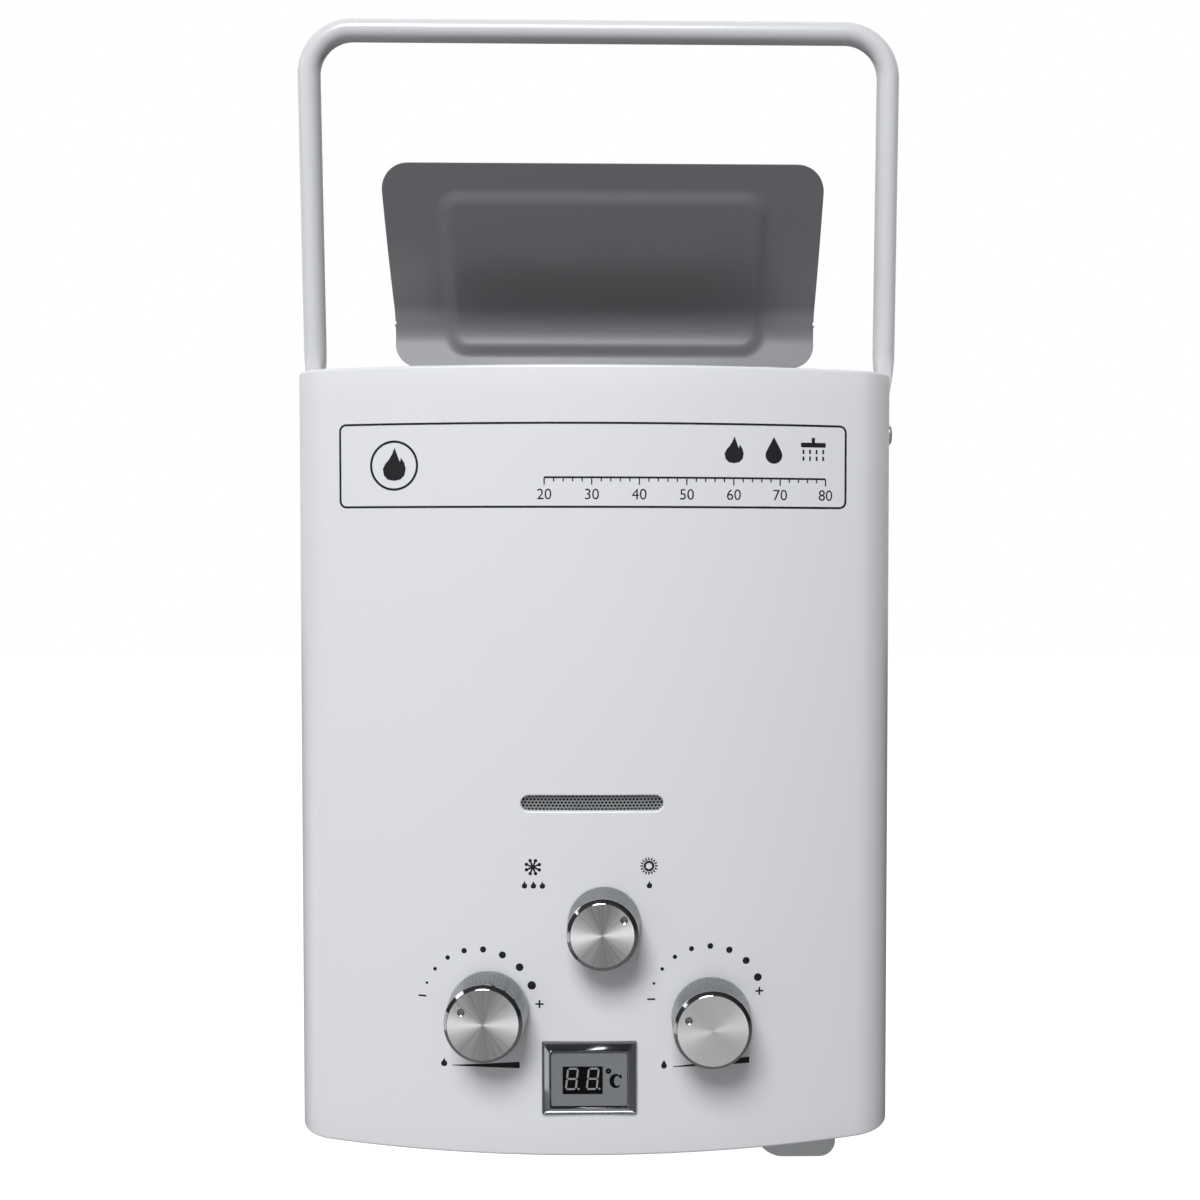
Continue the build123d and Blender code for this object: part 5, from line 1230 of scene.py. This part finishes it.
def deflector():
    """Bent deflector sheet with its foot flange, pressed panel and round corners."""
    flange_end = (DEFLECTOR_FOOT[0] + DEFLECTOR_FLANGE, DEFLECTOR_FOOT[1])
    corners = (flange_end, DEFLECTOR_FOOT, DEFLECTOR_BEND, DEFLECTOR_MIDDLE, DEFLECTOR_TOP)
    line = side_path(corners, (FOOT_RADIUS, BEND_RADIUS, FACE_BOW_RADIUS))
    total = sum((second - first).length for first, second in zip(line, line[1:]))
    waist, bend, bead_low = (
        reach_of(line, total, z) for z in (DEFLECTOR_WAIST_Z, DEFLECTOR_BEND[1], BEAD_BOTTOM_Z)
    )
    stops = deflector_stops(total, waist, bend)
    points = []
    for s in stops:
        here = along_path(line, s)
        run = along_path(line, min(s + SMOOTHING, total)) - along_path(line, max(s - SMOOTHING, 0))
        normal = Vector((-run.y, run.x)).normalized()
        half = deflector_half(s, total, waist, bend)
        upper = max(here.y - DEFLECTOR_BEND[1], 0) / (DEFLECTOR_TOP[1] - DEFLECTOR_BEND[1])
        for column in range(DEFLECTOR_COLUMNS + 1):
            x = half * (2 * column / DEFLECTOR_COLUMNS - 1)
            rise = bead_rise(x, s, bead_low, total - BEAD_TOP_INSET)
            leaning_x = DEFLECTOR_X + TOP_SHIFT * upper + x * (1 - TOP_NARROWING * upper)
            points.append((leaning_x, here.x + normal.x * rise, here.y + normal.y * rise))
    faces = grid_faces(len(stops), DEFLECTOR_COLUMNS + 1, around=False)
    sheet = piece_from("deflector_sheet", points, faces, STEEL_SHEET)
    tidy_mesh(thicken(sheet, SHEET, offset=0.0, even=False), 40, merge=0.0001)
    return place(sheet, "casing", "deflector_steel", "flue_deflector")


# ---------------------------------------------------------------- handle

HANDLE_LEAN = radians(3.5)
HANDLE_HALF_SPAN = 151.2
HANDLE_CORNER = 23.0
HANDLE_BAR_HEIGHT = 208.2
TUBE_RADIUS, TUBE_SEGMENTS = 5.8, 40
TONGUE_HALF, TONGUE_WIDTH, TONGUE_LENGTH = 1.7, 16.0, 12.0
FLATTEN_LENGTH = 32.0
SQUAREST = 8


def handle_stations():
    """Stations from the left eye over the bar to the right eye.

    Each has a point, the way the tube runs, its half thickness and its half width."""
    eye = TONGUE_WIDTH / 2
    side = []
    for step in range(13):
        angle = pi / 2 * (step / 12 - 1)
        side.append((eye * sin(angle), TONGUE_HALF, max(eye * cos(angle), 0.05)))
    side += [(TONGUE_LENGTH * step / 4, TONGUE_HALF, eye) for step in range(1, 5)]
    for step in range(1, 17):
        share = step / 16
        ease = share * share * (3 - 2 * share)
        thick = TONGUE_HALF + (TUBE_RADIUS - TONGUE_HALF) * ease
        side.append((TONGUE_LENGTH + FLATTEN_LENGTH * share, thick, eye + (TUBE_RADIUS - eye) * ease))
    start, end = TONGUE_LENGTH + FLATTEN_LENGTH, HANDLE_BAR_HEIGHT - HANDLE_CORNER
    side += [(start + (end - start) * step / 12, TUBE_RADIUS, TUBE_RADIUS) for step in range(1, 13)]
    stations = []
    for height, thick, wide in side:
        stations.append((Vector((-HANDLE_HALF_SPAN, 0, height)), Vector((0, 0, 1)), thick, wide))
    for step in range(1, 21):
        angle = pi / 2 * step / 20
        x = HANDLE_CORNER * (1 - cos(angle)) - HANDLE_HALF_SPAN
        point = Vector((x, 0, end + HANDLE_CORNER * sin(angle)))
        stations.append((point, Vector((sin(angle), 0, cos(angle))), TUBE_RADIUS, TUBE_RADIUS))
    for point, run, thick, wide in list(reversed(stations)):
        stations.append((Vector((-point.x, 0, point.z)), Vector((run.x, 0, -run.z)), thick, wide))
    return stations


def carrying_handle():
    """Bent tube with flattened, drilled ends, leaning slightly forwards."""
    backwards = Vector((0, 1, 0))
    rings = []
    for point, run, thick, wide in handle_stations():
        across = run.cross(backwards).normalized()
        power = 2 / min(2 + 6 * max(wide / thick - 1, 0), SQUAREST)
        ring = []
        for u, v in circle(0, 0, 1, TUBE_SEGMENTS):
            u, v = copysign(abs(u) ** power, u), copysign(abs(v) ** power, v)
            ring.append(point + across * thick * u + backwards * wide * v)
        rings.append(ring)
    tube = solid("handle_tube", rings, ENAMEL, angle=40, merge=0.001)
    holes = []
    for side in (-1, 1):
        holes.append(bar("cut", (side * (HANDLE_HALF_SPAN - 6), 0, 0), (side, 0, 0), HANDLE_BOLT_HOLE, 12))
    refinish(drill(tube, holes), ENAMEL, 40)
    shift(turn(tube, HANDLE_LEAN), 0, PIVOT_Y, PIVOT_Z)
    return place(tube, "carrying_handle", "handle_enamel", "handle")


# ---------------------------------------------------------------- screws

SIDE_SCREW_Y = -9.0
SIDE_SCREW_HEIGHTS = (-45.0, -305.0)
PANEL_SCREW_X = 128.0
FOOT_SCREW_OFFSETS = (-80.0, 0.0, 80.0)
SHANK_LENGTH = 3.0
HEAD_RADIUS, HEAD_HEIGHT = 3.8, 2.2


def cross_head_screw():
    """A pan-head screw with a cross recess, its head standing on the XY plane."""
    shank = HEAD_RADIUS / 2
    profile = [(0, -SHANK_LENGTH), (shank, -SHANK_LENGTH), (shank, 0.0), (HEAD_RADIUS, 0.0)]
    for step in range(7):
        angle = pi / 2 * step / 6
        radius = HEAD_RADIUS * (0.62 + 0.38 * cos(angle))
        profile.append((radius, HEAD_HEIGHT * (0.35 + 0.65 * sin(angle))))
    profile.append((0, HEAD_HEIGHT))
    screw = turn(lathe("screw", profile, 0, 0, 0, 28, (PLATED, len(profile) - 1)), -pi / 2)
    reach, half = HEAD_RADIUS * 0.52, HEAD_RADIUS * 0.11
    outline = [(-reach, -half), (reach, -half), (reach, half), (-reach, half)]
    arms = []
    for angle in (0, pi / 2):
        arm = turn(prism("cut", outline, -HEAD_HEIGHT * 1.2, -HEAD_HEIGHT * 0.45), -pi / 2)
        arms.append(turn(arm, angle, "Z"))
    return tidy_mesh(drill(screw, arms), 30, merge=0.0001)


def casing_screws():
    """Screws on the casing's sides, top and bottom and on the deflector's foot."""
    top_z = box_mm("back_plate")[1][2] + SHEET
    bottom_z = box_mm("back_plate")[0][2] - SHEET
    seats = []
    for side in (-1, 1):
        for z in SIDE_SCREW_HEIGHTS:
            seats.append(((side * HALF_WIDTH, SIDE_SCREW_Y, z), (0, side * pi / 2, 0)))
        seats.append(((side * PANEL_SCREW_X, SIDE_SCREW_Y, top_z), UPRIGHT))
        seats.append(((side * PANEL_SCREW_X, SIDE_SCREW_Y, bottom_z), (pi, 0, 0)))
    foot_y = DEFLECTOR_FOOT[0] + DEFLECTOR_FLANGE / 2 + 2
    for offset in FOOT_SCREW_OFFSETS:
        seats.append(((DEFLECTOR_X + offset, foot_y, top_z + SHEET), UPRIGHT))
    screws = tidy_mesh(copies("casing_screw_set", cross_head_screw(), seats, PLATED), 30, merge=0.0001)
    return place(screws, "casing", "bright_screw", "casing_screws")


# ---------------------------------------------------------------- exchanger fins and threads

CORE_HALF = 75.0
CORE_CORNER = 11
FIN_COUNT = 46
FIN_SPAN = 2 * (CORE_HALF - 5)
FIN_HALF, FIN_GAP = 0.15, 0.2
WATER_TUBE_PITCH = 18.0
WATER_TUBE_OUTER, WATER_TUBE_INNER = 7.0, 6.0
THREAD_PITCH, THREAD_RADIUS, THREAD_ROOT = 1.81, 10.4, 9.45
THREAD_TURNS, THREAD_STEPS = 9, 48
# Rise of the thread's section, in pitches, and whether it is on the crest
THREAD_SECTION = ((0.0, 0), (0.25, 1), (0.5, 1), (0.75, 0), (1.0, 0))
THREAD_END = 17.2
NIPPLE_BORE, NIPPLE_NECK, NIPPLE_COLLAR = 6.5, 9.6, 12.5
COLLAR_HEIGHT = 7.0


def open_tube(left, right, y, z):
    """A straight open water tube along X."""
    rings = []
    outer, inner = WATER_TUBE_OUTER, WATER_TUBE_INNER
    for x, radius in ((left, outer), (right, outer), (right, inner), (left, inner)):
        rings.append([(x, py, pz) for py, pz in circle(y, z, radius, 40)])
    return hollow("tube", rings, COPPER)


def exchanger():
    """Copper frame with thin fins on the straight water tubes."""
    (left, front, bottom), (right, rear, top) = box_mm("exchanger_core")
    y, depth = (front + rear) / 2, rear - front
    outer = rounded_rectangle(0, y, 2 * CORE_HALF, depth, CORE_CORNER)
    inner = rounded_rectangle(0, y, 2 * (CORE_HALF - SHEET), depth - 2 * SHEET, CORE_CORNER - SHEET)
    rings = []
    for outline, z in ((outer, bottom), (outer, top), (inner, top), (inner, bottom)):
        rings.append([(px, py, z) for px, py in outline])
    reach = depth / 2 - SHEET - FIN_GAP
    corners = ((y - reach, bottom + 2), (y + reach, bottom + 2), (y + reach, top - 2), (y - reach, top - 2))
    fin = solid("fin", [[(x, *corner) for corner in corners] for x in (-FIN_HALF, FIN_HALF)], COPPER)
    seats = []
    for index in range(FIN_COUNT):
        seats.append(((FIN_SPAN * (index / (FIN_COUNT - 1) - 0.5), 0, 0), UPRIGHT))
    fins = tidy_mesh(copies("fins", fin, seats, COPPER), merge=0.0001)
    parts = [hollow("exchanger_frame", rings, COPPER), fins]
    for index in range(4):
        parts.append(open_tube(left, right, y + (index - 1.5) * WATER_TUBE_PITCH, (bottom + top) / 2))
    return place(fuse("exchanger", parts), "casing", "copper", "exchanger_core")


def running_thread(x, y, tip):
    """A winding thread that rises and fades over its first and last turn."""
    steps = THREAD_STEPS * THREAD_TURNS
    points = []
    for step in range(steps + 1):
        turns = step / THREAD_STEPS
        fade = min(1.0, turns, THREAD_TURNS - turns)
        for share, crest in THREAD_SECTION:
            radius = THREAD_ROOT + (THREAD_RADIUS - THREAD_ROOT) * crest * fade
            z = tip + 0.2 + THREAD_PITCH * (turns + share - 1.0)
            points.append((*polar(x, y, radius, 2 * pi * turns), max(z, tip + 0.05)))
    faces = grid_faces(steps + 1, len(THREAD_SECTION), around=False)
    return tidy_mesh(piece_from("thread", points, faces, BRASS), 40, merge=0.001)


def threaded_nipple(node_name):
    """Connection with a running thread, an open bore and its shoulder."""
    low, high = box_mm(node_name)
    x, y = (low[0] + high[0]) / 2, (low[1] + high[1]) / 2
    tip, rise = low[2], high[2] - low[2]
    collar = rise - COLLAR_HEIGHT
    profile = [
        (NIPPLE_BORE, 0), (THREAD_ROOT - 0.6, 0), (THREAD_ROOT, 0.6), (THREAD_ROOT, THREAD_END),
        (NIPPLE_NECK, THREAD_END + 0.2), (NIPPLE_NECK, collar), (NIPPLE_COLLAR - 0.3, collar),
        (NIPPLE_COLLAR, collar + 0.4), (NIPPLE_COLLAR, rise), (NIPPLE_BORE, rise), (NIPPLE_BORE, 0),
    ]
    turned = turn(lathe("nipple", profile, 0, 0, 0, 64, (BRASS, len(profile) - 1)), -pi / 2)
    tidy_mesh(shift(turned, x, y, tip), 30)
    parts = [running_thread(x, y, tip), turned]
    return place(fuse(node_name + "_turned", parts), "casing", "brass", node_name)


# ---------------------------------------------------------------- studio

FLOOR_HALF, FLOOR_Z = 9000.0, -860.0
AIR_DARK, AIR_BRIGHT = (0.04, 0.04, 0.04), (0.53, 0.54, 0.55)
AIR_LEVELS = ((0.5, 0.05), (0.78, 0.12), (0.88, 0.38))
CAMERA_PLACE = (29.96, -727.14, -53.71)
CAMERA_YAW, CAMERA_PITCH, CAMERA_ROLL = 0.0158, -0.0287, 0.0011
CAMERA_LENS, CAMERA_SENSOR = 39.0, 36.0
CAMERA_SHIFT = (-0.0642, -0.0142)


def studio_air():
    """Surroundings: a white backdrop, and soft light brightest behind the camera and to its left."""
    world = bpy.data.worlds.new("studio_air")
    bpy.context.scene.world = world
    world.use_nodes = True
    tree = world.node_tree
    tree.nodes.clear()
    path = add(tree, "ShaderNodeLightPath")
    seen = add(tree, "ShaderNodeBackground", Color=(1, 1, 1, 1), Strength=1.0)
    fill = add(tree, "ShaderNodeBackground")
    coords = add(tree, "ShaderNodeTexCoord")
    split = add(tree, "ShaderNodeSeparateXYZ")
    share = add(tree, "ShaderNodeMapRange", From_Min=1.0, From_Max=-1.0)
    ramp = add_ramp(tree, (0.0, AIR_DARK), (1.0, AIR_BRIGHT))
    for position, level in AIR_LEVELS:
        ramp.color_ramp.elements.new(position).color = (level * 0.98, level * 0.99, level, 1)
    sideways = add(tree, "ShaderNodeMapRange", From_Min=-1.0, To_Min=1.2, To_Max=0.55)
    behind = add(tree, "ShaderNodeMapRange", From_Max=0.3)
    mirrored = maths(tree, "MULTIPLY")
    either = maths(tree, "MAXIMUM")
    white = maths(tree, "MAXIMUM")
    mix = add(tree, "ShaderNodeMixShader")
    out = add(tree, "ShaderNodeOutputWorld")
    wire(
        tree,
        (coords, "Generated", split, "Vector"), (split, "Y", share, "Value"), (share, "Result", ramp, "Fac"),
        (ramp, "Color", fill, "Color"), (split, "X", sideways, "Value"),
        (sideways, "Result", fill, "Strength"), (split, "Y", behind, "Value"),
        (behind, "Result", mirrored, 0), (path, "Is Glossy Ray", mirrored, 1),
        (path, "Is Camera Ray", either, 0), (path, "Is Transmission Ray", either, 1),
        (either, 0, white, 0), (mirrored, 0, white, 1), (white, 0, mix, "Fac"),
        (fill, 0, mix, 1), (seen, 0, mix, 2), (mix, 0, out, "Surface"),
    )


def pale_floor():
    """Matt floor, seen as white by the camera but darker where little light falls."""
    paint = finish_of("pale_floor", (0.45, 0.45, 0.45), roughness=0.9, Specular_IOR_Level=0.0)
    tree, shader = paint.node_tree, shader_of(paint)
    glow = add(tree, "ShaderNodeEmission", Strength=1.0)
    path = add(tree, "ShaderNodeLightPath")
    both = add(tree, "ShaderNodeAddShader")
    mix = add(tree, "ShaderNodeMixShader")
    wire(
        tree,
        (shader, 0, both, 0), (glow, 0, both, 1), (path, "Is Camera Ray", mix, "Fac"),
        (shader, 0, mix, 1), (both, 0, mix, 2), (mix, 0, tree.nodes["Material Output"], "Surface"),
    )
    return paint


def lamp(name, position, target, size, power):
    """A square soft lamp aimed at a point, in metres and watts."""
    light = bpy.data.lights.new(name, "AREA")
    light.size = size
    light.energy = power
    holder = object_of(name, light)
    holder.location = position
    holder.rotation_euler = (Vector(target) - Vector(position)).to_track_quat("-Z", "Y").to_euler()


def studio():
    """Pale floor, soft surroundings and lamps."""
    studio_air()
    corners = [(-1, -1), (1, -1), (1, 1), (-1, 1)]
    points = [(x * FLOOR_HALF, y * FLOOR_HALF, FLOOR_Z) for x, y in corners]
    floor = piece_from("floor", points, [[0, 1, 2, 3]], pale_floor())
    lamp("key", (-0.5, -2.6, 2.2), (0, -0.06, -0.16), 1.3, 111)
    lamp("side", (-1.6, -0.6, 0.75), (0, -0.1, -0.2), 0.5, 2.4)
    lamp("left_card", (-1.3, -0.1, -0.6), (0, -0.1, -0.3), 0.6, 1.2)


def camera():
    """Camera in front of the heater, a little right of centre and above the knobs."""
    lens = bpy.data.cameras.new("camera")
    lens.sensor_width = CAMERA_SENSOR
    lens.lens = CAMERA_LENS
    lens.shift_x, lens.shift_y = CAMERA_SHIFT
    holder = object_of("camera", lens)
    sideways, ahead = sin(CAMERA_YAW), cos(CAMERA_YAW)
    look = Vector((sideways * cos(CAMERA_PITCH), ahead * cos(CAMERA_PITCH), sin(CAMERA_PITCH)))
    level = Vector((ahead, -sideways, 0))
    upright = level.cross(look)
    right = level * cos(CAMERA_ROLL) + upright * sin(CAMERA_ROLL)
    up = upright * cos(CAMERA_ROLL) - level * sin(CAMERA_ROLL)
    aim = Matrix((right, up, -look)).transposed().to_4x4()
    holder.matrix_world = Matrix.Translation(Vector(CAMERA_PLACE) * MM) @ aim
    bpy.context.scene.camera = holder


# ---------------------------------------------------------------- the whole heater

dress_frame()
bowed_cover()
screen_print()
perforated_plate()
knob("gas_knob", 18.6, 17.8, 16.2, (11.4, 149.0), True, "gas_control")
knob("water_knob", 18.6, 17.8, 16.2, (11.9, 156.0), True, "water_control")
knob("season_knob", 17.0, 16.3, 14.5, (12.1, 36.0), False, "season_control")
bezel()
display()
deflector()
carrying_handle()
casing_screws()
exchanger()
for nipple in ("gas_inlet_nipple", "cold_inlet_nipple", "hot_outlet_nipple"):
    threaded_nipple(nipple)
studio()
camera()
bpy.context.scene.view_settings.view_transform = "Standard"
